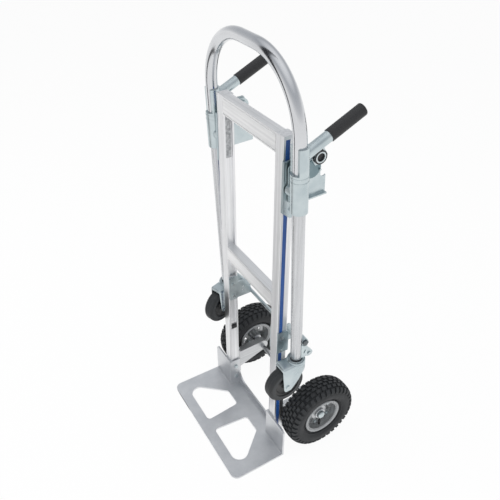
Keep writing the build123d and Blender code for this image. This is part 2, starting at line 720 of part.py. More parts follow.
def handle_loop():
    """Bent tube at the top of the handle."""
    with BuildPart() as loop:
        with BuildLine() as path:
            FilletPolyline(
                (-TUBE_X, TUBE_Y, LEG_SPLICE),
                (-TUBE_X, TUBE_Y, LOOP_TOP),
                (TUBE_X, TUBE_Y, LOOP_TOP),
                (TUBE_X, TUBE_Y, LEG_SPLICE),
                radius=LOOP_BEND,
            )
        with BuildSketch(Plane(path.line @ 0, z_dir=path.line % 0)):
            Circle(TUBE_R)
            Circle(TUBE_R - TUBE_WALL, mode=Mode.SUBTRACT)
        sweep()
    loop.part = leaned(loop.part)
    loop.part.label = "handle_loop"
    export_step(loop.part, "parts/handle_loop.step")


def handle_leg(side, s):
    """Straight fluted tube below the loop."""
    with BuildPart() as leg:
        with BuildSketch(Plane.XY.offset(LEG_BOTTOM)):
            with Locations((s * TUBE_X, TUBE_Y)):
                Circle(TUBE_R)
                Circle(TUBE_R - TUBE_WALL, mode=Mode.SUBTRACT)
                with PolarLocations(TUBE_R + FLUTE_R / 2, FLUTES):
                    Circle(FLUTE_R, mode=Mode.SUBTRACT)
        extrude(amount=LEG_SPLICE - LEG_BOTTOM)
    leg.part = leaned(leg.part)
    leg.part.label = f"handle_leg_{side}"
    export_step(leg.part, f"parts/handle_leg_{side}.step")


def tube_splices():
    """Inner tubes that join the loop to the legs."""
    with BuildPart() as splices:
        with BuildSketch(Plane.XY.offset(LEG_SPLICE - SPLICE_LEN / 2)):
            with Locations((-TUBE_X, TUBE_Y), (TUBE_X, TUBE_Y)):
                Circle(TUBE_R - TUBE_WALL - TOUCH)
                Circle(TUBE_R - 2 * TUBE_WALL, mode=Mode.SUBTRACT)
        extrude(amount=SPLICE_LEN)
    splices.part = leaned(splices.part)
    splices.part.label = "tube_splices"
    export_step(splices.part, "parts/tube_splices.step")


def clamp_block(side, s):
    """Saddle behind the leg, with an ear for its bolt and an arm down to the cross rod."""
    front = TUBE_Y + BLOCK_WRAP
    with BuildPart() as block:
        with BuildSketch(Plane.XY.offset(BLOCK_LOW)):
            with Locations((s * TUBE_X, (front + BLOCK_REAR) / 2)):
                Rectangle(TUBE_D, BLOCK_REAR - front)
        extrude(amount=BLOCK_TOP - BLOCK_LOW)
        fillet(block.edges().filter_by(Axis.Z).group_by(Axis.Y)[-1], BLOCK_EDGE)
        with BuildSketch(Plane.YZ.offset(s * (TUBE_X - BLOCK_EAR_IN))):
            with Locations((CLAMP_BOLT_Y, CLAMP_BOLT_Z)):
                Circle(BLOCK_EAR_R)
        extrude(amount=s * (BLOCK_EAR_IN + BLOCK_EAR_OUT))
        with BuildSketch(Plane.YZ.offset(s * (TUBE_X - TUBE_R))):
            with BuildLine():
                Polyline(
                    (BLOCK_REAR - BLOCK_EDGE, BLOCK_LOW),
                    (ROD_UP_Y - ROD_D, ROD_UP_Z - ROD_D / 3),
                    (ROD_UP_Y + ROD_D, ROD_UP_Z + ROD_D / 3),
                    (BLOCK_REAR, (BLOCK_LOW + BLOCK_TOP) / 2),
                    (BLOCK_REAR - BLOCK_EDGE, (BLOCK_LOW + BLOCK_TOP) / 2),
                    close=True,
                )
            make_face()
            with Locations((ROD_UP_Y, ROD_UP_Z)):
                Circle(ROD_D)
        extrude(amount=s * BLOCK_ARM)
        with BuildSketch(Plane.YZ.offset(s * (TUBE_X + TUBE_R))):
            with Locations(LATCH_SLOT):
                SlotOverall(LATCH_SLOT_LEN, LATCH_SLOT_W, rotation=LATCH_SLOT_TILT)
        extrude(amount=-s * LATCH_SLOT_W, mode=Mode.SUBTRACT)
        with Locations((s * TUBE_X, TUBE_Y, (BLOCK_LOW + EAR_TOP) / 2)):
            Cylinder(TUBE_R + TOUCH, 2 * (EAR_TOP - BLOCK_LOW), mode=Mode.SUBTRACT)
        bore_x(s * TUBE_X, ROD_UP_Y, ROD_UP_Z, ROD_D / 2 + TOUCH, 3 * TUBE_D)
        bore_x(s * (TUBE_X + BLOCK_EAR_OUT), CLAMP_BOLT_Y, CLAMP_BOLT_Z, BOLT_R + TOUCH, 2 * CLAMP_BOLT_LEN)
        recess = TUBE_X + BLOCK_EAR_OUT + CLAMP_BOLT_LEN / 2
        bore_x(s * recess, CLAMP_BOLT_Y, CLAMP_BOLT_Z, BLOCK_EAR_R, CLAMP_BOLT_LEN)
    block.part = leaned(block.part)
    block.part.label = f"clamp_block_{side}"
    export_step(block.part, f"parts/clamp_block_{side}.step")


def clamp_bolts():
    """Large hexagon bolts through the ears of the clamp blocks."""
    with BuildPart() as bolts:
        for side, s in SIDES:
            head = s * (TUBE_X + BLOCK_EAR_OUT)
            bolt_x(head, CLAMP_BOLT_Y, CLAMP_BOLT_Z, s, CLAMP_BOLT_LEN, CLAMP_BOLT_AF)
    bolts.part = leaned(bolts.part)
    bolts.part.label = "clamp_bolts"
    export_step(bolts.part, "parts/clamp_bolts.step")


def cross_rod():
    """Round rod that ties the arms of the clamp blocks behind the rails."""
    with BuildPart() as rod:
        rod_x(0, ROD_UP_Y, ROD_UP_Z, ROD_D / 2, 2 * (TUBE_X - TUBE_R + BLOCK_ARM + AXLE_PROUD))
    rod.part = leaned(rod.part)
    rod.part.label = "cross_rod"
    export_step(rod.part, "parts/cross_rod.step")


def rod_seat(side, s):
    """Plate on the inner face of the rail, whose rear ear stops the cross rod."""
    ear_low = ROD_Y - ROD_D / 2 - PASS
    ear_top = ear_low - (SEAT_EAR_TOP - SEAT_EAR_LOW + ROD_D) * tan(LEAN)
    with BuildPart() as seat:
        with BuildSketch(Plane.YZ.offset(s * RAIL_IN)) as face:
            with Locations((RAIL_D / 2, (SEAT_LOW + SEAT_TOP) / 2)):
                RectangleRounded(RAIL_D - 2, SEAT_TOP - SEAT_LOW, SEAT_CORNER)
            with BuildLine():
                Polyline(
                    (RAIL_D / 2, SEAT_EAR_LOW),
                    (ear_low, SEAT_EAR_LOW),
                    (ear_top, SEAT_EAR_TOP - ROD_D),
                    (ear_top - ROD_D, SEAT_EAR_TOP),
                    (RAIL_D / 2, SEAT_EAR_TOP),
                    close=True,
                )
            make_face()
            with Locations(SEAT_HOLES):
                Circle(SEAT_HOLE_R, mode=Mode.SUBTRACT)
            for z in LOWER_BOLT_Z:
                with Locations((LOWER_BOLT_Y, z)):
                    Circle(BOLT_R + TOUCH, mode=Mode.SUBTRACT)
        extrude(amount=-s * SEAT_T)
    seat.part.label = f"rod_seat_{side}"
    export_step(seat.part, f"parts/rod_seat_{side}.step")


def leg_guide(side, s):
    """Plate on the outer face of the rail, beside the handle leg."""
    with BuildPart() as guide:
        with BuildSketch(Plane.YZ.offset(s * RAIL_OUT)):
            with BuildLine():
                Polyline(
                    (1, GUIDE_LOW),
                    (GUIDE_REAR, GUIDE_LOW),
                    (GUIDE_REAR, GUIDE_TOP - SEAT_CORNER),
                    (GUIDE_REAR - SEAT_CORNER, GUIDE_TOP),
                    (1, GUIDE_TOP),
                    close=True,
                )
            make_face()
            for z in LOWER_BOLT_Z:
                with Locations((LOWER_BOLT_Y, z)):
                    Circle(BOLT_R + TOUCH, mode=Mode.SUBTRACT)
        extrude(amount=s * GUIDE_T)
        for z in LOWER_BOLT_Z:
            bore_x(s * (RAIL_OUT + GUIDE_T), LOWER_BOLT_Y, z, BOLT_AF / 2 + TOUCH, 2 * FLUSH_HEAD_T)
    guide.part.label = f"leg_guide_{side}"
    export_step(guide.part, f"parts/leg_guide_{side}.step")


def pivot_plate(side, s):
    """Plate on the outer face of the rail that carries the pivot of the sleeve."""
    with BuildPart() as plate:
        with BuildSketch(Plane.YZ.offset(s * RAIL_OUT)):
            with Locations((RAIL_D / 2, (PIVOT_PLATE_LOW + PIVOT_PLATE_TOP) / 2)):
                RectangleRounded(RAIL_D, PIVOT_PLATE_TOP - PIVOT_PLATE_LOW, PIVOT_PLATE_CORNER)
            with Locations((TUBE_Y, PIVOT_Z)):
                Circle(PIVOT_D / 2 + TOUCH, mode=Mode.SUBTRACT)
            for z in PIVOT_BOLT_Z:
                with Locations((BOLT_LINE, z)):
                    Circle(BOLT_R + TOUCH, mode=Mode.SUBTRACT)
        extrude(amount=s * PIVOT_PLATE_T)
    plate.part.label = f"pivot_plate_{side}"
    export_step(plate.part, f"parts/pivot_plate_{side}.step")


def pivot_bolts():
    """Shoulder bolts that the sleeves turn on, headed inside the rails."""
    start = CORE_OUT - RAIL_WALL
    tip = BOSS_OUT - PASS
    with BuildPart() as pins:
        for side, s in SIDES:
            rod_x(s * (start + tip) / 2, TUBE_Y, PIVOT_Z, PIVOT_D / 2, tip - start)
            rod_x(s * (start - PIVOT_HEAD / 2), TUBE_Y, PIVOT_Z, PIVOT_D / 2 + PIVOT_HEAD_RIM, PIVOT_HEAD)
    pins.part.label = "pivot_bolts"
    export_step(pins.part, "parts/pivot_bolts.step")


def grip_root(s):
    """Plane at the foot of the grip stub, on the axis of the leg and facing along the grip."""
    tilt = radians(GRIP_TILT)
    return Plane((s * TUBE_X, TUBE_Y, GRIP_Z), x_dir=(1, 0, 0), z_dir=(0, cos(tilt), sin(tilt)))


def sleeve_tube(s):
    """Add the tube of the sleeve with its beads."""
    with BuildSketch(Plane.XY.offset(SLEEVE_LOW)) as ring:
        with Locations((s * TUBE_X, TUBE_Y)):
            Circle(SLEEVE_R)
    extrude(ring.sketch, amount=SLEEVE_TOP - SLEEVE_LOW)
    for drop in BEAD_DROPS:
        with BuildSketch(Plane.XY.offset(SLEEVE_FULL - drop)) as bead:
            with Locations((s * TUBE_X, TUBE_Y)):
                Circle(SLEEVE_R + BEAD_RISE)
        extrude(bead.sketch, amount=BEAD_H)


def sleeve_hanger(s):
    """Add the pivot boss and the plate that hangs beside the rail."""
    mid_y = TUBE_Y + (HANGER_REAR - HANGER_FRONT) / 2
    with BuildSketch(Plane.YZ.offset(s * SWING_X)) as boss:
        with Locations((TUBE_Y, PIVOT_Z)):
            Circle(BOSS_R)
    extrude(boss.sketch, amount=s * (BOSS_OUT - SWING_X))
    with BuildSketch(Plane.YZ.offset(s * SWING_X)) as plate:
        with Locations((mid_y, (SLEEVE_LOW + HANGER_TOP) / 2)):
            RectangleRounded(HANGER_FRONT + HANGER_REAR, HANGER_TOP - SLEEVE_LOW, HANGER_CORNER)
    extrude(plate.sketch, amount=s * HANGER_T)


def sleeve_cheek(s):
    """Add the round-backed cheek, the web that ties it to the sleeve and its stop pin."""
    with BuildSketch(Plane.YZ.offset(s * CHEEK_IN)) as cheek:
        with BuildLine():
            Polyline(
                (TUBE_Y, CHEEK_Z - CHEEK_R),
                (CHEEK_Y, CHEEK_Z - CHEEK_R),
                (CHEEK_Y + CHEEK_R, CHEEK_Z),
                (LEVER_Y, LEVER_Z),
                (LEVER_Y, LEVER_Z + CHEEK_R / 2),
                (TUBE_Y, GRIP_Z),
                close=True,
            )
        make_face()
        with Locations((CHEEK_Y, CHEEK_Z)):
            Circle(CHEEK_R)
        with Locations((LEVER_Y, LEVER_Z)):
            Circle(NUT_AF / 2 - 1)
            Circle(BARREL_D / 2 + TOUCH, mode=Mode.SUBTRACT)
        with Locations((CHEEK_Y - CHEEK_R / 2, CHEEK_Z - CHEEK_R)):
            Circle(CHEEK_NOTCH, mode=Mode.SUBTRACT)
    extrude(cheek.sketch, amount=s * CHEEK_T)
    with BuildSketch(Plane.YZ.offset(s * SWING_X)) as web:
        with Locations((TUBE_Y + SLEEVE_R / 2, (SLEEVE_FULL + CHEEK_Z) / 2)):
            Rectangle(CHEEK_TIE, 2 * CHEEK_R)
    extrude(web.sketch, amount=s * (TUBE_X - SWING_X))
    pin_y = CHEEK_Y + CHEEK_R - 2 * STOP_PIN_R
    rod_x(s * (CHEEK_OUT + STOP_PIN_LEN / 2), pin_y, CHEEK_Z - STOP_PIN_LEN, STOP_PIN_R, STOP_PIN_LEN)


def pivot_sleeve(side, s):
    """Sleeve that the leg slides in: full ring below, half shell above, cheek and grip stub."""
    root = grip_root(s)
    stub_len = GRIP_START + GRIP_LEN - GRIP_CAP - 2 * TOUCH
    with BuildPart() as sleeve:
        sleeve_tube(s)
        sleeve_hanger(s)
        sleeve_cheek(s)
        with BuildSketch(root):
            Circle(STUB_D / 2)
        extrude(amount=stub_len)
        with BuildSketch(root.offset(2 * SLEEVE_R)):
            Circle(STUB_D / 2 - STUB_WALL)
        extrude(amount=stub_len, mode=Mode.SUBTRACT)
        with Locations((s * TUBE_X, TUBE_Y, (SLEEVE_LOW + SLEEVE_TOP) / 2)):
            Cylinder(SLEEVE_BORE, 2 * (SLEEVE_TOP - SLEEVE_LOW), mode=Mode.SUBTRACT)
        with BuildSketch(Plane.XY.offset(SLEEVE_FULL)):
            with Locations((s * TUBE_X, TUBE_Y - SHELL_WRAP - SLEEVE_R)):
                Rectangle(2 * SLEEVE_R, 2 * SLEEVE_R)
        extrude(amount=SLEEVE_TOP - SLEEVE_FULL, mode=Mode.SUBTRACT)
        bore_x(s * (SWING_X + BOSS_OUT) / 2, TUBE_Y, PIVOT_Z, PIVOT_D / 2 + RUN, 2 * (BOSS_OUT - SWING_X))
    sleeve.part = leaned(sleeve.part)
    sleeve.part.label = f"pivot_sleeve_{side}"
    export_step(sleeve.part, f"parts/pivot_sleeve_{side}.step")


def hand_grip(side, s):
    """Rubber grip pushed over the stub, closed and rounded at its end."""
    root = grip_root(s)
    with BuildPart() as grip:
        with BuildSketch(root.offset(GRIP_START)):
            Circle(GRIP_D / 2)
        extrude(amount=GRIP_LEN)
        with BuildSketch(root.offset(GRIP_START)):
            Circle(STUB_D / 2 + TOUCH)
        extrude(amount=GRIP_LEN - GRIP_CAP, mode=Mode.SUBTRACT)
        fillet(grip.edges().filter_by(GeomType.CIRCLE).sort_by(Axis.Y)[-1], GRIP_ROUND)
    grip.part = leaned(grip.part)
    grip.part.label = f"hand_grip_{side}"
    export_step(grip.part, f"parts/hand_grip_{side}.step")


def release_lever(side, s):
    """Release lever that hangs from the barrel inside the cheek, with a bent finger flange."""
    eye_r = BARREL_D / 2 + LEVER_EYE
    neck = LEVER_Y + eye_r - PADDLE_SCOOP
    with BuildPart() as lever:
        with BuildSketch(Plane.YZ.offset(s * SWING_X)):
            with BuildLine():
                Polyline((neck, LEVER_Z), (LEVER_Y - eye_r, LEVER_Z), (PADDLE_FRONT, PADDLE_TOP))
                Polyline((PADDLE_FRONT, PADDLE_TOP), (PADDLE_FRONT, PADDLE_LOW), (PADDLE_REAR, PADDLE_LOW))
                Line((PADDLE_REAR, PADDLE_LOW), (PADDLE_REAR, PADDLE_TOP))
                ThreePointArc(
                    (PADDLE_REAR, PADDLE_TOP),
                    ((PADDLE_REAR + neck) / 2, PADDLE_TOP - PADDLE_SCOOP / 2),
                    (neck, PADDLE_TOP + PADDLE_SCOOP),
                )
                Line((neck, PADDLE_TOP + PADDLE_SCOOP), (neck, LEVER_Z))
            make_face()
            with Locations((LEVER_Y, LEVER_Z)):
                Circle(eye_r)
                Circle(BARREL_D / 2 + RUN, mode=Mode.SUBTRACT)
        extrude(amount=s * LEVER_T)
        with BuildSketch(Plane.YZ.offset(s * (SWING_X + LEVER_T))):
            with Locations(((PADDLE_FRONT + PADDLE_REAR) / 2, PADDLE_LOW + LEVER_T / 2)):
                Rectangle(PADDLE_REAR - PADDLE_FRONT, LEVER_T)
        extrude(amount=s * PADDLE_FLANGE)
        corner = lever.edges().filter_by(Axis.Y).group_by(Axis.Z)[0].sort_by(Axis.X)[0 if s > 0 else -1]
        fillet(corner, PADDLE_BEND)
    lever.part = leaned(lever.part)
    lever.part.label = f"release_lever_{side}"
    export_step(lever.part, f"parts/release_lever_{side}.step")


def lever_pin(side, s):
    """Hollow barrel that the lever turns on, with a hexagon nut against the cheek."""
    with BuildPart() as barrel:
        rod_x(s * (BARREL_IN + BARREL_LEN / 2), LEVER_Y, LEVER_Z, BARREL_D / 2, BARREL_LEN)
        with BuildSketch(Plane.YZ.offset(s * CHEEK_OUT)):
            with Locations((LEVER_Y, LEVER_Z)):
                RegularPolygon(NUT_AF / 2, 6, major_radius=False)
        extrude(amount=s * NUT_T)
        bore_x(
            s * (BARREL_IN + BARREL_FLOOR + BARREL_LEN / 2), LEVER_Y, LEVER_Z, BARREL_BORE / 2, BARREL_LEN
        )
        bore_x(s * BARREL_IN, LEVER_Y, LEVER_Z, BARREL_VENT / 2, BARREL_LEN)
    barrel.part = leaned(barrel.part)
    barrel.part.label = f"lever_pin_{side}"
    export_step(barrel.part, f"parts/lever_pin_{side}.step")


def caster_stem(side, s):
    """Stem with the upper race, pushed into the end of the leg, and the nut below the crown."""
    x = s * TUBE_X
    nut_top = CROWN_Z - CROWN_T - GAP
    with BuildPart() as stem:
        with BuildSketch(Plane.XY.offset(RACE_MID + GAP)):
            with Locations((x, TUBE_Y)):
                Circle(TUBE_R + UPPER_RACE)
        extrude(amount=LEG_BOTTOM - RACE_MID - GAP)
        with BuildSketch(Plane.XY.offset(LEG_BOTTOM)):
            with Locations((x, TUBE_Y)):
                Circle(TUBE_R - TUBE_WALL - TOUCH)
        extrude(amount=SPLICE_LEN / 2)
        with BuildSketch(Plane.XY.offset(nut_top)):
            with Locations((x, TUBE_Y)):
                Circle(STEM_R)
        extrude(amount=RACE_MID + 2 * GAP - nut_top)
        with BuildSketch(Plane.XY.offset(nut_top)):
            with Locations((x, TUBE_Y)):
                Circle(STEM_R + STEM_NUT)
        extrude(amount=-STEM_NUT_H)
    stem.part = leaned(stem.part)
    stem.part.label = f"caster_stem_{side}"
    export_step(stem.part, f"parts/caster_stem_{side}.step")


def caster_race(side, s):
    """Lower race that turns with the fork."""
    with BuildPart() as race:
        with BuildSketch(Plane.XY.offset(CROWN_Z)):
            with Locations((s * TUBE_X, TUBE_Y)):
                Circle(RACE_R)
                Circle(STEM_R + RUN, mode=Mode.SUBTRACT)
        extrude(amount=RACE_H)
    race.part = turned(race.part, side, s)
    race.part.label = f"caster_race_{side}"
    export_step(race.part, f"parts/caster_race_{side}.step")


def fork_leg(x, way):
    """Add one leg of the fork: upright front, flat foot round the axle and a raked rear edge."""
    foot_front = CASTER_Y - FORK_FOOT_FRONT
    foot_rear = CASTER_Y + FORK_FOOT_REAR
    foot_z = CASTER_Z - FORK_FOOT_DROP
    top = CROWN_Z - CROWN_T / 2
    with BuildSketch(Plane.YZ.offset(x + way * FORK_W / 2)) as leg:
        with BuildLine():
            Polyline(
                (TUBE_Y - CROWN_FRONT, top),
                (TUBE_Y - CROWN_FRONT, CASTER_Z + FORK_KNEE),
                (foot_front, foot_z),
                (foot_rear, foot_z),
                (TUBE_Y - CROWN_R / 4, CASTER_Z + CROWN_R / 3),
                (TUBE_Y + CROWN_R - 2, CROWN_Z - 3 * CROWN_T),
                (TUBE_Y + CROWN_R - 2, top),
                close=True,
            )
        make_face()
        fillet(leg.vertices().group_by(Axis.Z)[0], FORK_FOOT_ROUND)
    extrude(leg.sketch, amount=-way * FORK_T)


def caster_fork(side, s):
    """Fork: crown plate round the stem and two legs down to the axle."""
    x = s * TUBE_X
    with BuildPart() as fork:
        with BuildSketch(Plane.XY.offset(CROWN_Z)) as crown:
            with Locations((x, TUBE_Y)):
                Circle(CROWN_R)
            with Locations((x, TUBE_Y - CROWN_FRONT / 2)):
                Rectangle(FORK_W, CROWN_FRONT)
            fillet(crown.vertices().group_by(Axis.Y)[0], CROWN_CORNER)
        extrude(amount=-CROWN_T)
        fillet(fork.faces().sort_by(Axis.Z)[-1].edges(), CROWN_EDGE)
        for way in (-1, 1):
            fork_leg(x, way)
        with Locations((x, TUBE_Y, CROWN_Z)):
            Cylinder(STEM_R + RUN, 4 * CROWN_T, mode=Mode.SUBTRACT)
        bore_x(x, CASTER_Y, CASTER_Z, CASTER_AXLE_R + TOUCH, 2 * FORK_W)
    fork.part = turned(fork.part, side, s)
    fork.part.label = f"caster_fork_{side}"
    export_step(fork.part, f"parts/caster_fork_{side}.step")


def caster_axle(side, s):
    """Bolt and nut that carry the caster wheel."""
    x = s * TUBE_X
    with BuildPart() as pin:
        rod_x(x, CASTER_Y, CASTER_Z, CASTER_AXLE_R, FORK_W)
        for way in (-1, 1):
            with BuildSketch(Plane.YZ.offset(x + way * FORK_W / 2)):
                with Locations((CASTER_Y, CASTER_Z)):
                    RegularPolygon(BOLT_AF / 2, 6, major_radius=False)
            extrude(amount=way * CASTER_AXLE_HEAD)
    pin.part = turned(pin.part, side, s)
    pin.part.label = f"caster_axle_{side}"
    export_step(pin.part, f"parts/caster_axle_{side}.step")


def caster_section(s):
    """Plane through the axis of a caster wheel: local x runs along the axle, local y is the radius."""
    return Plane((s * TUBE_X, CASTER_Y, CASTER_Z), x_dir=(1, 0, 0), z_dir=(0, -1, 0))


def caster_spin(s):
    """Roll axis of a caster wheel before the caster is turned."""
    return Axis((s * TUBE_X, CASTER_Y, CASTER_Z), (1, 0, 0))


def caster_hub(side, s):
    """Core of the caster wheel, with a boss that reaches to both legs of the fork."""
    inner = CASTER_AXLE_R + RUN
    with BuildPart() as hub:
        with BuildSketch(caster_section(s)):
            with Locations((0, (inner + CASTER_HUB_R) / 2)):
                Rectangle(CASTER_W - 2 * CORE_INSET, CASTER_HUB_R - inner)
            with Locations((0, (inner + CORE_BOSS_R) / 2)):
                Rectangle(2 * (FORK_IN - GAP), CORE_BOSS_R - inner)
        revolve(axis=caster_spin(s))
    hub.part = turned(hub.part, side, s)
    hub.part.label = f"caster_hub_{side}"
    export_step(hub.part, f"parts/caster_hub_{side}.step")


def caster_tyre(side, s):
    """Solid tyre on the core, with rounded shoulders."""
    with BuildPart() as tyre:
        with BuildSketch(caster_section(s)) as profile:
            with Locations((0, (CASTER_HUB_R + TOUCH + CASTER_R) / 2)):
                Rectangle(CASTER_W, CASTER_R - CASTER_HUB_R - TOUCH)
            fillet(profile.vertices().group_by(Axis.Z)[-1], CASTER_ROUND)
        revolve(axis=caster_spin(s))
    tyre.part = turned(tyre.part, side, s)
    tyre.part.label = f"caster_tyre_{side}"
    export_step(tyre.part, f"parts/caster_tyre_{side}.step")


nose_plate()
crossbar("top_crossbar", TOP_BAR_Z)
crossbar("mid_crossbar", MID_BAR_Z)
channel_inserts()
nose_bolts()
strut_bolts()
pivot_plate_bolts()
lower_bracket_bolts()
axle()
collars("axle_spacers", STRUT_OUT + TOUCH, WHEEL_X - HUB_IN - GAP)
collars("axle_retainers", WHEEL_X + HUB_OUT + GAP, AXLE_END - AXLE_PROUD)
pivot_bolts()
handle_loop()
tube_splices()
clamp_bolts()
cross_rod()
for side, s in SIDES:
    rail(side, s)
    slot_strip(side, s)
    axle_bracket(side, s)
    main_tyre(side, s)
    main_rim(side, s)
    valve_stem(side, s)
    main_hub(side, s)
    rod_seat(side, s)
    leg_guide(side, s)
    pivot_plate(side, s)
    handle_leg(side, s)
    clamp_block(side, s)
    pivot_sleeve(side, s)
    hand_grip(side, s)
    release_lever(side, s)
    lever_pin(side, s)
    caster_stem(side, s)
    caster_race(side, s)
    caster_fork(side, s)
    caster_axle(side, s)
    caster_hub(side, s)
    caster_tyre(side, s)
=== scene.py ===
"""Looks of a convertible hand truck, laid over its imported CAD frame.

Outlines and sizes of pieces are in millimetres; points and boxes in the scene are in metres.
"""
import bpy
import bmesh
import json
from math import atan2, cos, hypot, pi, radians, sin, sqrt
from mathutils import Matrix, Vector


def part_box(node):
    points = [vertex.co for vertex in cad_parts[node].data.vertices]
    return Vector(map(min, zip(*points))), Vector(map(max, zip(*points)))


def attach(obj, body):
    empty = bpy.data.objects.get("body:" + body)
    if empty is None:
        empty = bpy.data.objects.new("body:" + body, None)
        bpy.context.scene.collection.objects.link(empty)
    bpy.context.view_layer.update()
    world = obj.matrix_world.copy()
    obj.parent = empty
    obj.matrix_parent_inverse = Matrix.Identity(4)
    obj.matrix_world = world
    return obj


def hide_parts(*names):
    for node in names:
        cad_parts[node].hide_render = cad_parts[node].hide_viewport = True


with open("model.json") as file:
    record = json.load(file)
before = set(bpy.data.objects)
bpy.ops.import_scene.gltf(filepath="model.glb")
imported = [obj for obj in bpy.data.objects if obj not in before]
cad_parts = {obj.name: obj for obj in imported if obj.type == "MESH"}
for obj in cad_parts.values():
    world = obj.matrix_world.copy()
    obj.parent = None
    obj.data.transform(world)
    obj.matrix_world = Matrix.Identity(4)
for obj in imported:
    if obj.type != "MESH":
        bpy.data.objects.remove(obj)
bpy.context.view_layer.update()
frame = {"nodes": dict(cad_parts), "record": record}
NODES = frame["nodes"]
# Each side of the truck, and the sign of its X.
SIDES = (("left", -1), ("right", 1))
X, Y, Z = 0, 1, 2
MM = 0.001


# --- shader nodes ------------------------------------------------------------------------

class Tree:
    """The shader nodes of a material or of the world, added by short calls."""

    def __init__(self, owner):
        owner.use_nodes = True
        self.nodes = owner.node_tree.nodes
        self.links = owner.node_tree.links

    def fill(self, socket, value):
        """Link an input to another node's output, or give it a fixed value."""
        if isinstance(value, bpy.types.NodeSocket):
            self.links.new(value, socket)
        elif socket.type == "RGBA":
            socket.default_value = (*value, 1)
        else:
            socket.default_value = value

    def add(self, kind, inputs, output=0, **settings):
        """Add a node, fill its inputs and return one of its outputs."""
        node = self.nodes.new(f"ShaderNode{kind}")
        for key, value in settings.items():
            setattr(node, key, value)
        for key, value in inputs.items():
            self.fill(node.inputs[key], value)
        return node.outputs[output]

    def source(self, kind, output):
        """Add a node that needs no input, and return one of its outputs."""
        return self.nodes.new(f"ShaderNode{kind}").outputs[output]

    def math(self, operation, a, b):
        return self.add("Math", {0: a, 1: b}, operation=operation)

    def mix(self, fac, a, b):
        """Mix two colours, either of which may come from another node."""
        return self.add("Mix", {0: fac, 6: a, 7: b}, output=2, data_type="RGBA")

    def span(self, value, low, high, out_low=0.0, out_high=1.0):
        """Map a value from one range to another, and hold it at the ends."""
        limits = {"From Min": low, "From Max": high, "To Min": out_low, "To Max": out_high}
        return self.add("MapRange", {"Value": value, **limits})


# --- camera, light and floor -------------------------------------------------------------

# Softboxes: place, the point that they face, width and height in metres, power in watts.
SOFTBOXES = {
    "key_softbox": ((-1.3, -2.6, 2.6), (0.0, 0.0, 0.6), (3.4, 3.4), 66),
    "side_softbox": ((2.8, -0.6, 1.8), (0.0, 0.0, 0.6), (1.1, 2.8), 26),
    "top_softbox": ((0.1, 0.4, 3.4), (0.0, 0.0, 0.0), (3.4, 3.4), 40),
}
# The room from the horizon up to the zenith, as light on the object and as what metal mirrors.
SKY_LIGHT = ((0.0, (0.95, 0.95, 0.95)), (0.45, (0.46, 0.48, 0.50)), (1.0, (0.88, 0.90, 0.92)))
SKY_SEEN = ((0.0, (1.0, 1.0, 1.0)), (0.30, (0.66, 0.67, 0.69)), (0.62, (0.50, 0.52, 0.55)),
            (1.0, (0.95, 0.96, 0.98)))
SKY_STRENGTH = 0.62
# A dark upright wedge of the backdrop: its direction, and the cosines where it begins and is full.
FLAG_DIRECTION = (-0.60, -0.80, 0.0)
FLAG_EDGE = (0.982, 0.994)
FLAG_COLOUR = (0.03, 0.03, 0.035)
FLOOR_HALF = 14.0
FLOOR_DROP = 0.5 * MM
FLOOR_PAPER = (0.86, 0.86, 0.86)
FLOOR_WHITE = (1.0, 1.0, 1.0)
# Share of the plain white in what the camera sees of the floor; the rest is paper with its shadow.
FLOOR_GLOW = 0.95


def add_object(name, data):
    """Put a camera, a light or a mesh into the scene."""
    obj = bpy.data.objects.new(name, data)
    bpy.context.scene.collection.objects.link(obj)
    return obj


def add_camera():
    """The studio camera: above the truck's right front corner, looking down at it."""
    cam = bpy.data.cameras.new("studio_camera")
    cam.sensor_width = 36.0
    cam.lens = 41.08
    cam.clip_start = 0.05
    cam.clip_end = 100.0
    obj = add_object("studio_camera", cam)
    obj.location = (1.1716, -0.6882, 1.7261)
    obj.rotation_euler = (radians(53.63), radians(0.17), radians(59.21))
    bpy.context.scene.camera = obj


def add_softbox(name, place, target, size, power):
    """A rectangular light, which metal doesn't mirror: its hard edges would show in the chrome."""
    light = bpy.data.lights.new(name, "AREA")
    light.shape = "RECTANGLE"
    light.size, light.size_y = size
    light.energy = power
    obj = add_object(name, light)
    obj.location = place
    aim = Vector(target) - Vector(place)
    obj.rotation_euler = aim.to_track_quat("-Z", "Y").to_euler()
    obj.visible_glossy = False


def add_lights():
    for name, setting in SOFTBOXES.items():
        add_softbox(name, *setting)


def backdrop_rays(tree):
    """1 for rays that should see the backdrop itself: camera, mirror and see-through rays."""
    path = tree.nodes.new("ShaderNodeLightPath").outputs
    seen = tree.math("MAXIMUM", path["Is Camera Ray"], path["Is Glossy Ray"])
    return tree.math("MAXIMUM", seen, path["Is Transmission Ray"])


def black_flag(tree, place):
    """1 inside the dark wedge, for mirror rays only: shiny metal shows it as a dark line."""
    flat = tree.add("VectorMath", {0: place, 1: (1.0, 1.0, 0.0)}, operation="MULTIPLY")
    unit = tree.add("VectorMath", {0: flat}, operation="NORMALIZE")
    facing = tree.add("VectorMath", {0: unit, 1: FLAG_DIRECTION}, "Value", operation="DOT_PRODUCT")
    return tree.math("MULTIPLY", tree.span(facing, *FLAG_EDGE), tree.source("LightPath", "Is Glossy Ray"))


def sky_ramp(tree, height, stops):
    """Colour by height, from stops of (height, colour)."""
    ramp = tree.nodes.new("ShaderNodeValToRGB")
    tree.links.new(height, ramp.inputs[0])
    points = ramp.color_ramp.elements
    for place, _ in stops[1:-1]:
        points.new(place)
    for point, (place, colour) in zip(points, stops):
        point.position, point.color = place, (*colour, 1)
    return ramp.outputs[0]


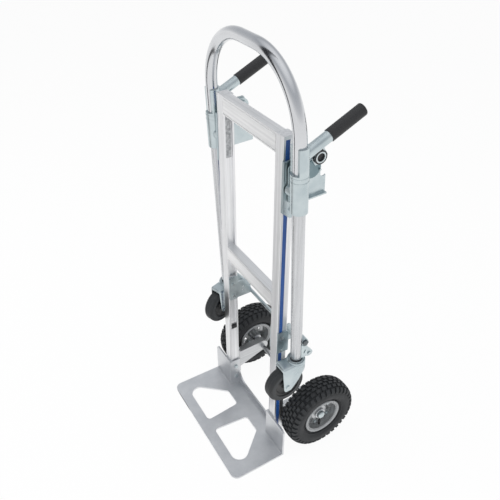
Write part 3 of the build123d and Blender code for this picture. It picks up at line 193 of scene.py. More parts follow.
def add_world():
    """The room: soft light all round, and a brighter picture of itself for mirrors and the camera."""
    world = bpy.data.worlds.new("studio")
    bpy.context.scene.world = world
    tree = Tree(world)
    tree.nodes.clear()
    place = tree.source("TexCoord", "Generated")
    height = tree.add("SeparateXYZ", {0: place}, "Z")
    lit = sky_ramp(tree, height, SKY_LIGHT)
    seen = tree.mix(black_flag(tree, place), sky_ramp(tree, height, SKY_SEEN), FLAG_COLOUR)
    glow = tree.add("Background", {"Color": lit, "Strength": SKY_STRENGTH})
    wall = tree.add("Background", {"Color": seen})
    surface = tree.add("MixShader", {0: backdrop_rays(tree), 1: glow, 2: wall})
    tree.links.new(surface, tree.nodes.new("ShaderNodeOutputWorld").inputs["Surface"])


def add_floor():
    """White paper under the truck, nearly plain white to the camera, with a faint shadow on it."""
    mesh = bpy.data.meshes.new("floor")
    corners = [(x * FLOOR_HALF, y * FLOOR_HALF, -FLOOR_DROP)
               for x, y in ((-1, -1), (1, -1), (1, 1), (-1, 1))]
    mesh.from_pydata(corners, [], [(0, 1, 2, 3)])
    floor = add_object("floor", mesh)
    mat = bpy.data.materials.new("floor_paper")
    tree = Tree(mat)
    tree.nodes.clear()
    place = tree.source("NewGeometry", "Position")
    white = tree.mix(black_flag(tree, place), FLOOR_WHITE, FLAG_COLOUR)
    paper = tree.add("BsdfDiffuse", {"Color": FLOOR_PAPER})
    glow = tree.add("Emission", {"Color": white})
    weight = tree.math("MULTIPLY", backdrop_rays(tree), FLOOR_GLOW)
    surface = tree.add("MixShader", {0: weight, 1: paper, 2: glow})
    tree.links.new(surface, tree.nodes.new("ShaderNodeOutputMaterial").inputs["Surface"])
    mesh.materials.append(mat)


# --- materials ---------------------------------------------------------------------------

class Finish(Tree):
    """A material built step by step on one Principled shader."""

    def __init__(self, name, **scalars):
        self.mat = bpy.data.materials.new(name)
        super().__init__(self.mat)
        self.shader = self.nodes["Principled BSDF"].inputs
        for key, value in scalars.items():
            self.shader[key.replace("_", " ")].default_value = value
        self.coord = self.source("TexCoord", "Object")
        self.normal = None

    def noise(self, scale, detail=4.0, rough=0.55, stretch=(1.0, 1.0, 1.0)):
        place = self.add("Mapping", {"Vector": self.coord, "Scale": stretch})
        grain = {"Vector": place, "Scale": scale, "Detail": detail, "Roughness": rough}
        return self.add("TexNoise", grain, "Fac")

    def cells(self, scale):
        return self.add("TexVoronoi", {"Vector": self.coord, "Scale": scale}, "Color")

    # Mask of sharp outer edges, from the geometry's pointiness.
    def pointy_edges(self, low, high):
        return self.span(self.source("NewGeometry", "Pointiness"), low, high)

    def colour(self, value):
        self.links.new(value, self.shader["Base Color"])

    def roughness(self, value):
        self.links.new(value, self.shader["Roughness"])

    def bump(self, value, strength, depth, soft_edge=None):
        """Lay a bump over the one before it; a first bump may lie on edges that look rounded."""
        bump = {"Height": value, "Strength": strength, "Distance": depth}
        if soft_edge:
            bump["Normal"] = self.add("Bevel", {"Radius": soft_edge}, samples=4)
        elif self.normal is not None:
            bump["Normal"] = self.normal
        self.normal = self.add("Bump", bump)
        self.links.new(self.normal, self.shader["Normal"])


def shade(colour, factor):
    """A darker or lighter colour."""
    return tuple(min(1.0, factor * c) for c in colour)


def stretched(along, length, across):
    """Scale of a texture that is drawn out along one axis."""
    return tuple(length if i == along else across for i in range(3))


def aluminium(name, along, base, rough=(0.30, 0.46)):
    """Satin extruded aluminium: die lines run along one axis, with faint cloudy patches."""
    f = Finish(name, Metallic=1.0)
    lines = f.noise(1.0, detail=3.0, rough=0.6, stretch=stretched(along, 5.0, 900.0))
    wide = f.noise(1.0, detail=2.0, rough=0.5, stretch=stretched(along, 2.0, 160.0))
    clouds = f.noise(9.0)
    tone = f.mix(f.span(wide, 0.35, 0.65), shade(base, 0.90), shade(base, 1.07))
    f.colour(f.mix(f.span(clouds, 0.3, 0.75, 0.0, 0.35), tone, shade(base, 0.86)))
    f.roughness(f.span(lines, 0.3, 0.7, *rough))
    f.bump(lines, strength=0.12, depth=0.4 * MM, soft_edge=0.7 * MM)
    f.bump(wide, strength=0.10, depth=0.6 * MM)
    return f.mat


def sheet_aluminium(name):
    """Mill-finish rolled sheet: cross-wise rolling marks, handling scuffs and cloudy bloom."""
    f = Finish(name, Metallic=1.0)
    rolled = f.noise(1.0, detail=3.0, rough=0.6, stretch=stretched(X, 6.0, 700.0))
    bloom = f.noise(14.0, detail=5.0, rough=0.6)
    scuffs = f.noise(1.0, detail=6.0, rough=0.75, stretch=(160.0, 40.0, 90.0))
    tone = f.mix(f.span(bloom, 0.3, 0.7), (0.64, 0.655, 0.675), (0.79, 0.80, 0.815))
    f.colour(f.mix(f.span(scuffs, 0.60, 0.74, 0.0, 0.5), tone, (0.88, 0.89, 0.90)))
    f.roughness(f.span(bloom, 0.25, 0.75, 0.34, 0.52))
    f.bump(rolled, strength=0.14, depth=0.4 * MM, soft_edge=1.0 * MM)
    f.bump(scuffs, strength=0.05, depth=0.5 * MM)
    return f.mat


def zinc(name, light, dark, rough=(0.26, 0.38)):
    """Metal plate or turned metal in soft light and dark patches of uneven gloss."""
    f = Finish(name, Metallic=1.0)
    patches = f.noise(22.0, rough=0.5)
    fine = f.noise(420.0, detail=2.0, rough=0.5)
    f.colour(f.mix(f.span(patches, 0.32, 0.68), dark, light))
    f.roughness(f.span(patches, 0.3, 0.7, *rough))
    f.bump(fine, strength=0.018, depth=0.4 * MM, soft_edge=0.9 * MM)
    return f.mat


def chrome(name):
    """Polished, bright-plated tube with faint drawing marks."""
    f = Finish(name, Metallic=1.0)
    smear = f.noise(5.0, rough=0.5)
    fine = f.noise(260.0, detail=3.0, rough=0.6, stretch=stretched(Z, 0.08, 1.0))
    f.colour(f.mix(f.span(smear, 0.3, 0.7), (0.60, 0.61, 0.63), (0.74, 0.75, 0.765)))
    f.roughness(f.span(smear, 0.3, 0.7, 0.13, 0.20))
    f.bump(fine, strength=0.008, depth=0.4 * MM)
    return f.mat


def rubber(name, dark, dusty, rough, grain=520.0, bump=0.16):
    """Black rubber with a grey bloom in random patches, lighter on its sharp outer edges, and a fine moulded
    grain.
    """
    f = Finish(name, Specular_IOR_Level=0.42)
    bloom = f.noise(26.0, detail=5.0, rough=0.65)
    fine = f.noise(grain, detail=3.0, rough=0.6)
    tone = f.mix(f.span(bloom, 0.35, 0.72), dark, dusty)
    # Lighter on sharp outer edges.
    f.colour(f.mix(f.pointy_edges(0.505, 0.56), tone, shade(dusty, 1.5)))
    f.roughness(f.span(bloom, 0.3, 0.7, *rough))
    f.bump(fine, strength=bump, depth=0.6 * MM, soft_edge=0.8 * MM)
    return f.mat


def paint(name, base):
    """Sprayed metallic paint with a light orange peel."""
    f = Finish(name, Metallic=0.55, Coat_Weight=0.25, Coat_Roughness=0.22)
    peel = f.noise(210.0, detail=2.0, rough=0.5)
    flake = f.cells(2600.0)
    clouds = f.noise(18.0, detail=3.0)
    tone = f.mix(f.span(clouds, 0.3, 0.7), shade(base, 0.88), base)
    f.colour(f.mix(f.span(flake, 0.6, 1.0, 0.0, 0.12), tone, shade(base, 1.7)))
    f.roughness(f.span(peel, 0.3, 0.7, 0.26, 0.40))
    f.bump(peel, strength=0.05, depth=0.6 * MM, soft_edge=0.7 * MM)
    return f.mat


def film(name):
    """Worn grey label film with nothing printed on it: cloudy, scuffed and slightly glossy."""
    f = Finish(name, Metallic=0.2, Specular_IOR_Level=0.5)
    clouds = f.noise(120.0, rough=0.6)
    scuffs = f.noise(1.0, rough=0.7, stretch=(300.0, 240.0, 90.0))
    tone = f.mix(f.span(clouds, 0.38, 0.62), (0.30, 0.31, 0.32), (0.58, 0.59, 0.60))
    f.colour(f.mix(f.span(scuffs, 0.55, 0.7, 0.0, 0.6), tone, (0.74, 0.75, 0.76)))
    f.roughness(f.span(clouds, 0.3, 0.7, 0.34, 0.50))
    f.bump(scuffs, strength=0.08, depth=0.4 * MM)
    return f.mat


def plastic(name, base):
    """Extruded coloured plastic with faint upright drawing lines."""
    f = Finish(name, Specular_IOR_Level=0.5)
    lines = f.noise(1.0, detail=3.0, rough=0.6, stretch=stretched(Z, 4.0, 700.0))
    clouds = f.noise(12.0, detail=3.0)
    f.colour(f.mix(f.span(clouds, 0.3, 0.7), shade(base, 0.82), base))
    f.roughness(f.span(lines, 0.3, 0.7, 0.30, 0.42))
    f.bump(lines, strength=0.06, depth=0.4 * MM, soft_edge=0.5 * MM)
    return f.mat


# Every finish, by its short name.
MATERIALS = {
    "rail": aluminium("satin_extrusion_upright", Z, (0.88, 0.885, 0.895)),
    "bar": aluminium("satin_extrusion_crosswise", X, (0.94, 0.945, 0.95)),
    "leg": aluminium("satin_tube", Z, (0.66, 0.67, 0.685), rough=(0.22, 0.36)),
    "cast": aluminium("machined_bracket", Y, (0.66, 0.67, 0.68), rough=(0.34, 0.50)),
    "nose": sheet_aluminium("mill_finish_sheet"),
    "zinc": zinc("bright_zinc_plate", (0.65, 0.72, 0.735), (0.50, 0.575, 0.60)),
    # A darker copy of the bright zinc: painted shade for plates that sit in shadow.
    "zinc_painted_shade": zinc("zinc_plate_painted_shade", (0.52, 0.60, 0.63), (0.44, 0.52, 0.55)),
    # A much darker copy of the zinc: painted shade for the cheek's round back.
    "zinc_painted_deep_shade": zinc("zinc_plate_painted_deep_shade", (0.24, 0.315, 0.34), (0.18, 0.25, 0.275)),
    "bolt": zinc("zinc_fastener", (0.66, 0.72, 0.73), (0.50, 0.56, 0.58), rough=(0.18, 0.32)),
    "steel": zinc("turned_steel", (0.62, 0.63, 0.64), (0.50, 0.51, 0.52), rough=(0.24, 0.36)),
    "chrome": chrome("bright_chrome"),
    "blue": plastic("blue_slot_strip", (0.020, 0.100, 0.370)),
    "tyre": rubber("tyre_rubber", (0.010, 0.0115, 0.014), (0.019, 0.0205, 0.022), (0.48, 0.66)),
    "caster": rubber("caster_rubber", (0.012, 0.0135, 0.015), (0.024, 0.026, 0.028), (0.40, 0.56),
                     grain=380.0, bump=0.10),
    "grip": rubber("grip_rubber", (0.008, 0.008, 0.009), (0.015, 0.015, 0.016), (0.46, 0.60),
                   grain=700.0),
    "rim": paint("silver_rim_paint", (0.36, 0.37, 0.375)),
    # A lighter copy of the rim paint: painted light on the rim's lips and on the cone into the dish.
    "rim_lit_copy": paint("rim_paint_painted_highlight", (0.42, 0.43, 0.44)),
    "core": plastic("black_caster_core", (0.016, 0.017, 0.018)),
    "bolt_dark": zinc("blackened_fastener", (0.22, 0.24, 0.25), (0.12, 0.135, 0.145), rough=(0.26, 0.40)),
    "film": film("bare_label_film"),
    # Black plastic for real black parts, and also painted shade in the hexagon barrels and in the gap between
    # caster bearing and leg.
    "black": plastic("black_plastic_and_painted_shade", (0.012, 0.012, 0.013)),
}

# The material of each CAD node, by the beginning of its name; the longest that fits counts.
NODE_FINISH = {
    "rail_": "rail", "slot_strip_": "blue", "top_crossbar": "bar", "mid_crossbar": "bar",
    "channel_inserts": "rail", "nose_plate": "nose", "nose_bolts": "bolt", "axle_bracket_": "cast",
    "strut_bolts": "bolt", "axle_spacers": "steel", "axle_retainers": "bolt", "axle": "steel",
    "pivot_plate_bolts": "bolt", "pivot_plate_": "zinc_painted_shade", "pivot_bolts": "bolt",
    "rod_seat_": "zinc", "leg_guide_": "zinc_painted_shade", "lower_bracket_bolts": "bolt",
    "main_tyre_": "tyre", "main_rim_": "rim", "main_hub_": "steel", "valve_stem_": "black",
    "pivot_sleeve_": "zinc", "hand_grip_": "grip", "lever_pin_": "zinc", "release_lever_": "zinc",
    "handle_loop": "chrome", "handle_leg_": "leg", "tube_splices": "leg", "clamp_block_": "zinc",
    "clamp_bolts": "bolt_dark", "cross_rod": "bolt", "caster_stem_": "bolt", "caster_race_": "zinc",
    "caster_fork_": "zinc", "caster_axle_": "bolt", "caster_hub_": "core", "caster_tyre_": "caster",
}


def finish_nodes():
    """Give every CAD node its material."""
    for name, obj in NODES.items():
        best = max((key for key in NODE_FINISH if name.startswith(key)), key=len)
        mat = MATERIALS[NODE_FINISH[best]]
        if not obj.material_slots:
            obj.data.materials.append(mat)
        for slot in obj.material_slots:
            slot.material = mat


# --- mesh building -----------------------------------------------------------------------

# A chamfered hexagon head, from its foot up: (share of its width, share of its height).
HEAD_LEVELS = ((1.0, 0.0), (1.0, 0.75), (0.84, 1.0))
# Points round a turned piece, by its size.
LARGE_ROUND, MEDIUM_ROUND, SMALL_ROUND = 96, 64, 48


def skin(bm, rows, closed=False):
    """Join rings of points with faces; each ring closes on itself, and the last may meet the first."""
    verts = [[bm.verts.new(point) for point in row] for row in rows]
    pairs = list(zip(verts, verts[1:]))
    if closed:
        pairs.append((verts[-1], verts[0]))
    for one, two in pairs:
        for k in range(len(one)):
            after = (k + 1) % len(one)
            bm.faces.new((one[k], one[after], two[after], two[k]))
    return verts


def capped_skin(bm, rows):
    """Join rings of points with faces, and close the first ring and the last."""
    verts = skin(bm, rows)
    bm.faces.new(verts[0])
    bm.faces.new(verts[-1])


def make_piece(name, bm, finish, body, stands_for=(), sharp=35.0):
    """Turn a bmesh into a piece that rides on a body, with edges sharper than the angle kept crisp."""
    bmesh.ops.recalc_face_normals(bm, faces=bm.faces)
    for edge in bm.edges:
        edge.smooth = edge.calc_face_angle(0.0) < radians(sharp)
    for face in bm.faces:
        face.smooth = True
    mesh = bpy.data.meshes.new(name)
    bm.to_mesh(mesh)
    bm.free()
    mesh.materials.append(MATERIALS[finish])
    obj = add_object(name, mesh)
    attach(obj, body)
    if stands_for:
        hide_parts(*stands_for)


def near_x(node, s):
    """X of the side of a node that is nearest to the middle of the truck."""
    low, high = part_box(node)
    return low[X] if s > 0 else high[X]


def node_middle(node):
    """The middle of a node's box."""
    low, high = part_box(node)
    return (Vector(low) + Vector(high)) / 2


def node_size(node):
    """Width, depth and height of a node, in millimetres."""
    low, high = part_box(node)
    return [(b - a) / MM for a, b in zip(low, high)]


class Axle:
    """A spin axis: points by distance along it and radius, in millimetres, and angle from its side."""

    def __init__(self, centre, axis, side, up):
        self.centre, self.axis, self.side, self.up = centre, axis, side, up

    def at(self, along, radius, angle):
        spoke = cos(angle) * self.side + sin(angle) * self.up
        return self.centre + MM * (along * self.axis + radius * spoke)

    def ring(self, along, radius, count):
        return [self.at(along, radius, 2 * pi * k / count) for k in range(count)]


def node_axle(node, axis=(1, 0, 0)):
    """A level axis through the middle of a node, crosswise unless another direction is given."""
    axis = Vector(axis).normalized()
    side = axis.cross(Vector((0, 0, 1))).normalized()
    return Axle(node_middle(node), axis, side, side.cross(axis))


def turned_rows(axle, outline, count, way):
    """Rings about an axle, one for each (along, radius) of an outline."""
    return [axle.ring(way * along, radius, count) for along, radius in outline]


def turned_ring(bm, axle, outline, count=LARGE_ROUND, way=1):
    """Revolve a closed outline about an axle."""
    skin(bm, turned_rows(axle, outline, count, way), closed=True)


def turned_knob(bm, axle, outline, count=SMALL_ROUND, way=1):
    """Revolve an open outline about an axle, and close both its ends."""
    capped_skin(bm, turned_rows(axle, outline, count, way))


def hexagon_head(bm, centre, axis, across, height):
    """Add a chamfered hexagon head that stands on centre and points along axis."""
    side = axis.orthogonal().normalized()
    up = axis.cross(side)
    corner = across * MM / sqrt(3)
    rows = []
    for share, lift in HEAD_LEVELS:
        middle = centre + lift * height * MM * axis
        spokes = [cos(k * pi / 3) * side + sin(k * pi / 3) * up for k in range(6)]
        rows.append([middle + share * corner * spoke for spoke in spokes])
    capped_skin(bm, rows)


def rounded_block(bm, one, other, edge):
    """Add a block between two corners, with its edges cut back by a small chamfer."""
    low = [min(a, b) for a, b in zip(one, other)]
    high = [max(a, b) for a, b in zip(one, other)]
    rows = []
    for z, inset in ((low[Z], edge), (low[Z] + edge, 0.0), (high[Z] - edge, 0.0), (high[Z], edge)):
        x0, x1, y0, y1 = low[X] + inset, high[X] - inset, low[Y] + inset, high[Y] - inset
        rows.append([Vector((x, y, z)) for x, y in
                     ((x0 + edge, y0), (x1 - edge, y0), (x1, y0 + edge), (x1, y1 - edge),
                      (x1 - edge, y1), (x0 + edge, y1), (x0, y1 - edge), (x0, y0 + edge))])
    capped_skin(bm, rows)


# --- main wheels -------------------------------------------------------------------------

LUGS = 36
LUG_HEIGHT = 5.0
# Where the tread's cross-wise lines of points lie, and where a lug stands, as shares of a lug's turn.
LUG_WALLS = (0.0, 0.04, 0.12, 0.16, 0.50, 0.54, 0.62, 0.66)
LUG_START, LUG_END = 0.03, 0.63
# The middle of the tread runs ahead of its shoulders by this share of a lug's turn.
CHEVRON = 0.55
# Power of the curve that the tyre's section follows: 2 is an ellipse, and more is squarer.
TYRE_SQUARENESS = 2.6
# Room left for the shoulder lugs, inside the CAD tyre's width on each side.
SHOULDER_ROOM = 1.5
# Rows of points on half a tyre's section: direction in degrees up from sideways, what stands there,
# and its share of a lug's height.
TYRE_ROWS = (
    (-46, None, 0), (-41, None, 0), (-39.5, "rib", 0.25), (-36, "rib", 0.25), (-34.5, None, 0),
    (-22, None, 0), (-8, None, 0), (4, None, 0), (14, None, 0), (20, None, 0),
    (23, "shoulder", 0.35), (31, "shoulder", 0.8), (38, "shoulder", 1), (50, "shoulder", 1),
    (52, None, 0), (55, None, 0), (57, "crown", 1), (63, "crown", 1), (70, "crown", 1),
    (72, None, 0), (74.5, None, 0), (76.5, "inner", 1), (82, "inner", 1), (87, "inner", 1),
    (88.5, None, 0),
)
# The tyre's foot in the rim: its half width, the radii of its seat and of the rim's lip, and the
# room over the lip.
BEAD_HALF = 27.2
BEAD_SEAT = 60.2
RIM_LIP = 68.0
BEAD_CLEAR = 0.5

# Turned outlines, as (distance from the middle of the wheel, radius).
RIM_LIP_OUTLINE = (
    (11.0, 56.6), (11.0, 55.8), (22.0, 56.4), (30.0, 59.2), (33.4, 61.6), (33.8, 62.8),
    (35.0, 64.2), (35.0, 66.4), (33.6, 68.2), (31.2, 69.0), (29.0, 68.6), (29.0, 58.6),
)
BEARING_FACE = ((17.0, 19.0), (19.2, 18.6), (19.6, 17.6), (19.6, 15.4), (18.2, 15.0), (17.0, 15.0))
AXLE_CAP = ((19.9, 13.6), (26.6, 13.6), (28.4, 12.6), (30.6, 9.6), (31.6, 6.0), (32.0, 2.0))

# The rim's web: its outer face, its sheet, and the ribs and bolts on both faces.
WEB_FACE = 7.75
WEB_SHEET = 3.5
SPOKES = 5
RIB_SUNK = 0.3
RIB_RISE = 2.2
RIB_TAPER = 1.6
# One edge of a rib, from hub to rim: (radius, half width, the way that its taper draws it in).
RIB_EDGE = ((30.0, 8.0, 1), (43.0, 9.0, 0), (56.0, 12.5, -1))
RIM_BOLT_RADIUS = 43.5
RIM_BOLT_ACROSS = 11.0
RIM_BOLT_HEIGHT = 5.0

# The valve cap from its foot up, as (height over the stem's top, radius), grooved where it is wide.
VALVE_CAP = ((-8.0, 3.6), (-8.0, 4.4), (-0.5, 4.4), (0.6, 3.4))
VALVE_GRIP_RADIUS = 4.0
VALVE_GROOVE = 0.35
VALVE_POINTS = 24


def lug_stands(kind, way, share):
    """Shoulder lugs and crown blocks take turns, and the two halves of the tread are out of step."""
    if kind in (None, "rib"):
        return kind == "rib"
    late = (kind == "crown") == (way > 0)
    return LUG_START < (share + (0.5 if late else 0.0)) % 1.0 < LUG_END


def tyre_rings(axle, half, crown):
    """Rings of the outer skin of the tyre, from one bead over the crown to the other."""
    low = RIM_LIP + BEAD_CLEAR
    middle, rise = (low + crown - LUG_HEIGHT) / 2, (crown - LUG_HEIGHT - low) / 2
    power = TYRE_SQUARENESS
    sides = [(1, row) for row in TYRE_ROWS] + [(-1, row) for row in reversed(TYRE_ROWS)]
    rings = []
    for way, (degrees, kind, height) in sides:
        c, s = cos(radians(degrees)), sin(radians(degrees))
        reach = (abs(c) ** power + abs(s) ** power) ** (-1 / power)
        steep = abs(reach * c) ** (power - 1) / half
        level = abs(reach * s) ** (power - 1) / rise * (1 if s > 0 else -1)
        out = Vector((steep, level)).normalized()
        skew = CHEVRON * (1 - abs(c)) if s > 0 else 0.0
        ring = []
        for lug in range(LUGS):
            for wall in LUG_WALLS:
                lift = LUG_HEIGHT * height if lug_stands(kind, way, wall) else 0.0
                across = way * (half * reach * c + lift * out.x)
                radius = middle + rise * reach * s + lift * out.y
                ring.append(axle.at(across, radius, 2 * pi * (lug + wall + skew) / LUGS))
        rings.append(ring)
    return rings


def add_tyre(side):
    """Knobby tyre: a squared-off round section with lugs, and a foot that fits into the rim."""
    node = f"main_tyre_{side}"
    axle = node_axle(node)
    width, _, height = node_size(node)
    half, crown = width / 2 - SHOULDER_ROOM, height / 2
    count = LUGS * len(LUG_WALLS)
    foot = [axle.ring(way * BEAD_HALF, radius, count) for way, radius in
            ((-1, RIM_LIP), (-1, BEAD_SEAT), (1, BEAD_SEAT), (1, RIM_LIP))]
    bm = bmesh.new()
    skin(bm, tyre_rings(axle, half, crown) + foot, closed=True)
    make_piece(f"knobby_tyre_{side}", bm, "tyre", f"main_wheel_{side}", [node], sharp=28.0)


def add_rim_lips(side):
    """Rolled edges of the rim, one each side, with the cone that runs down into the dish, both in a lighter
    copy of the rim paint as painted light.
    """
    axle = node_axle(f"main_tyre_{side}")
    bm = bmesh.new()
    for way in (-1, 1):
        turned_ring(bm, axle, RIM_LIP_OUTLINE, way=way)
    make_piece(f"rim_lips_{side}", bm, "rim_lit_copy", f"main_wheel_{side}")


def spoke_places():
    """Face of the web, the way that it looks, and the angle, for each spoke on both faces."""
    for face, way in ((WEB_FACE, 1), (WEB_FACE - WEB_SHEET, -1)):
        for k in range(SPOKES):
            yield face, way, pi + 2 * pi * (k + 0.5) / SPOKES


def rib_ring(axle, along, angle, taper):
    """One level of a rib, drawn in by the taper: out along one edge and back along the other."""
    edge = [(radius + way * taper, width - taper) for radius, width, way in RIB_EDGE]
    outline = edge + [(radius, -width) for radius, width in reversed(edge)]
    return [axle.at(along, radius, angle + width / radius) for radius, width in outline]


def add_spoke_ribs(side, s):
    """Pressed ribs between the windows of the web, on its outer and inner faces."""
    axle = node_axle(f"main_tyre_{side}")
    bm = bmesh.new()
    for face, way, angle in spoke_places():
        capped_skin(bm, [rib_ring(axle, s * (face + way * lift), angle, taper)
                         for lift, taper in ((-RIB_SUNK, 0.0), (RIB_RISE, RIB_TAPER))])
    make_piece(f"spoke_ribs_{side}", bm, "rim", f"main_wheel_{side}")


def add_rim_bolts(side, s):
    """Hexagon heads that hold the two rim halves together, one on every rib."""
    axle = node_axle(f"main_tyre_{side}")
    bm = bmesh.new()
    for face, way, angle in spoke_places():
        centre = axle.at(s * (face + way * RIB_RISE), RIM_BOLT_RADIUS, angle)
        hexagon_head(bm, centre, s * way * axle.axis, RIM_BOLT_ACROSS, RIM_BOLT_HEIGHT)
    make_piece(f"rim_bolts_{side}", bm, "bolt", f"main_wheel_{side}")


def add_hub_trim(side, s):
    """Bearing face of the hub, and the domed cap on the end of the axle."""
    axle = node_axle(f"main_tyre_{side}")
    bm = bmesh.new()
    turned_ring(bm, axle, BEARING_FACE, MEDIUM_ROUND, s)
    make_piece(f"bearing_face_{side}", bm, "chrome", f"main_wheel_{side}")
    bm = bmesh.new()
    turned_knob(bm, axle, AXLE_CAP, way=s)
    make_piece(f"axle_cap_{side}", bm, "bolt", "frame")


def add_valve(side):
    """Ribbed cap on the valve stem."""
    stem = f"valve_stem_{side}"
    top = node_middle(stem)
    top.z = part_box(stem)[1][Z]
    bm = bmesh.new()
    rows = []
    for lift, radius in VALVE_CAP:
        ring = []
        for k in range(VALVE_POINTS):
            angle = 2 * pi * k / VALVE_POINTS
            out = radius - (VALVE_GROOVE if k % 2 and radius > VALVE_GRIP_RADIUS else 0.0)
            ring.append(top + MM * Vector((out * cos(angle), out * sin(angle), lift)))
        rows.append(ring)
    capped_skin(bm, rows)
    make_piece(f"valve_cap_{side}", bm, "black", f"main_wheel_{side}")


# --- casters, each in its own frame ------------------------------------------------------

RACE_HALF = 3.0
CROWN_R = 28.0
CROWN_FRONT = 60.0
CROWN_BEND = 8.0
# The line inside the crown that its outline is drawn in towards runs from here to the stem.
CROWN_SPINE = 20.0 - CROWN_FRONT
STEM_HOLE = 6.3
FORK_HALF = 24.0
FORK_SHEET = 3.6
FORK_CORNER = 7.0
# The crown's front edge ends this far below its bend.
FRONT_LIP = 2.0
# Steps of the crown's outline: along the front, round a front corner, along a side, round the rear.
FRONT_STEPS, CORNER_STEPS, SIDE_STEPS, REAR_STEPS = 8, 5, 12, 40
# Steps down the fork: across the crown's flat, round its bend, down the legs.
CROWN_STEPS, BEND_STEPS, LEG_STEPS = 2, 4, 5
# Below the crown's bend the round rear draws in to the legs' width over this height.
LEG_EASE = 22.0
# Lower edge of the legs: (y, z) from the front of the crown to its rear.
LEG_EDGE = ((-61.0, -14.0), (-59.0, -40.0), (-57.0, -92.0), (-52.0, -98.0), (-34.0, -98.0), (-29.0, -94.0),
            (-7.0, -69.0), (20.0, -22.0), (30.0, -15.0))

# Turned outlines about the stem: (height over the crown, radius).
BEARING_EDGE = (
    (-0.3, 26.2), (-0.3, 28.4), (1.6, 28.2), (4.2, 27.2), (6.0, 24.8), (6.8, 21.0), (6.8, 18.5),
    (6.1, 18.5), (6.1, 26.2),
)
# A black ring in the gap between bearing and leg: painted shade.
STEM_GAP_SHADE = ((8.2, 18.4), (8.2, 18.8), (9.0, 19.4), (12.0, 19.4), (12.8, 18.8), (12.8, 17.2), (8.2, 17.2))

TYRE_HALF = 18.0
TYRE_OUTER = 62.5
TYRE_INNER = 42.0
TYRE_SHOULDER = 10.0
SHOULDER_STEPS = 8
# The rest of the caster tyre's outline up to its middle: (distance from the middle, depth).
TYRE_GROOVE = ((-5.6, 0.0), (-5.2, 0.7), (-4.4, 0.7), (-4.0, 0.0), (-0.6, 0.1))
# Half of the caster core's outline, from its bore to the tyre: (radius, distance from the middle).
CORE_HALF = ((5.1, 19.5), (12.0, 19.5), (12.8, 18.6), (13.4, 11.0), (15.5, 9.0), (30.0, 8.4), (32.5, 9.6),
             (36.0, 14.6), (41.9, 15.2))


class CasterFrame:
    """The rest frame of a caster: origin at the top of the crown, z up the stem, x along the axle."""

    def __init__(self, side):
        joints = {joint["name"]: joint for joint in frame["record"]["behaviour"]["joints"]}
        self.x = Vector(joints[f"caster_roll_{side}"]["axis"]).normalized()
        self.z = Vector(joints[f"caster_swivel_{side}"]["axis"]).normalized()
        self.y = self.z.cross(self.x)
        self.origin = node_middle(f"caster_race_{side}") - RACE_HALF * MM * self.z

    def at(self, x, y, z):
        return self.origin + MM * (x * self.x + y * self.y + z * self.z)


def leg_depth(y):
    """Height of the legs' lower edge at one place from front to rear."""
    for (y0, z0), (y1, z1) in zip(LEG_EDGE, LEG_EDGE[1:]):
        if y <= y1:
            return z0 + (z1 - z0) * max(0.0, (y - y0)) / (y1 - y0)
    return LEG_EDGE[-1][1]


def crown_outline():
    """Plan of the crown, round at the rear and straight at the front: (x, y, whether it is the front)."""
    flat, bend_y = FORK_HALF - FORK_CORNER, FORK_CORNER - CROWN_FRONT
    rear_y = -sqrt(CROWN_R ** 2 - FORK_HALF ** 2)
    rear_angle = atan2(rear_y, FORK_HALF)
    front = [(flat * (2 * k / FRONT_STEPS - 1), -CROWN_FRONT, True) for k in range(FRONT_STEPS + 1)]
    edge = []
    for k in range(1, CORNER_STEPS + 1):
        angle = pi / 2 * (k / CORNER_STEPS - 1)
        edge.append((flat + FORK_CORNER * cos(angle), bend_y + FORK_CORNER * sin(angle), k == 1))
    for k in range(1, SIDE_STEPS + 1):
        edge.append((FORK_HALF, bend_y + (rear_y - bend_y) * k / SIDE_STEPS, False))
    rear = []
    for k in range(1, REAR_STEPS):
        angle = rear_angle + (pi - 2 * rear_angle) * k / REAR_STEPS
        rear.append((CROWN_R * cos(angle), CROWN_R * sin(angle), False))
    return front + edge + rear + [(-x, y, is_front) for x, y, is_front in reversed(edge)]


def drawn_in(x, y, distance):
    """Move a point of the crown's outline towards the crown's spine."""
    spine_y = min(0.0, max(y, CROWN_SPINE))
    reach = hypot(x, y - spine_y)
    return x - distance * x / reach, y - distance * (y - spine_y) / reach


def crown_ring(outline, share, z, caster):
    """Ring on the flat of the crown, some way from the stem hole to the bend."""
    ring = []
    for x, y, _ in outline:
        hole_x, hole_y = STEM_HOLE * x / hypot(x, y), STEM_HOLE * y / hypot(x, y)
        bend_x, bend_y = drawn_in(x, y, CROWN_BEND)
        ring.append(caster.at(hole_x + (bend_x - hole_x) * share, hole_y + (bend_y - hole_y) * share, z))
    return ring


def bend_ring(outline, angle, inset, caster):
    """Ring on the bend between crown and legs, from 0 at the top to a right angle at the side."""
    bend = CROWN_BEND - inset
    pull = CROWN_BEND - bend * sin(angle)
    return [caster.at(*drawn_in(x, y, pull), -CROWN_BEND + bend * cos(angle)) for x, y, _ in outline]


def leg_ring(outline, share, inset, caster):
    """Ring some way down the legs, which draw in from the crown's round rear to the fork's width."""
    ring = []
    for x, y, is_front in outline:
        foot = -CROWN_BEND - FRONT_LIP if is_front else leg_depth(y)
        drop = (foot + CROWN_BEND) * share
        px, py = drawn_in(x, y, inset)
        beyond = max(0.0, abs(px) - (FORK_HALF - inset))
        px -= (1 if px > 0 else -1) * beyond * min(1.0, -drop / LEG_EASE)
        ring.append(caster.at(px, py, -CROWN_BEND + drop))
    return ring


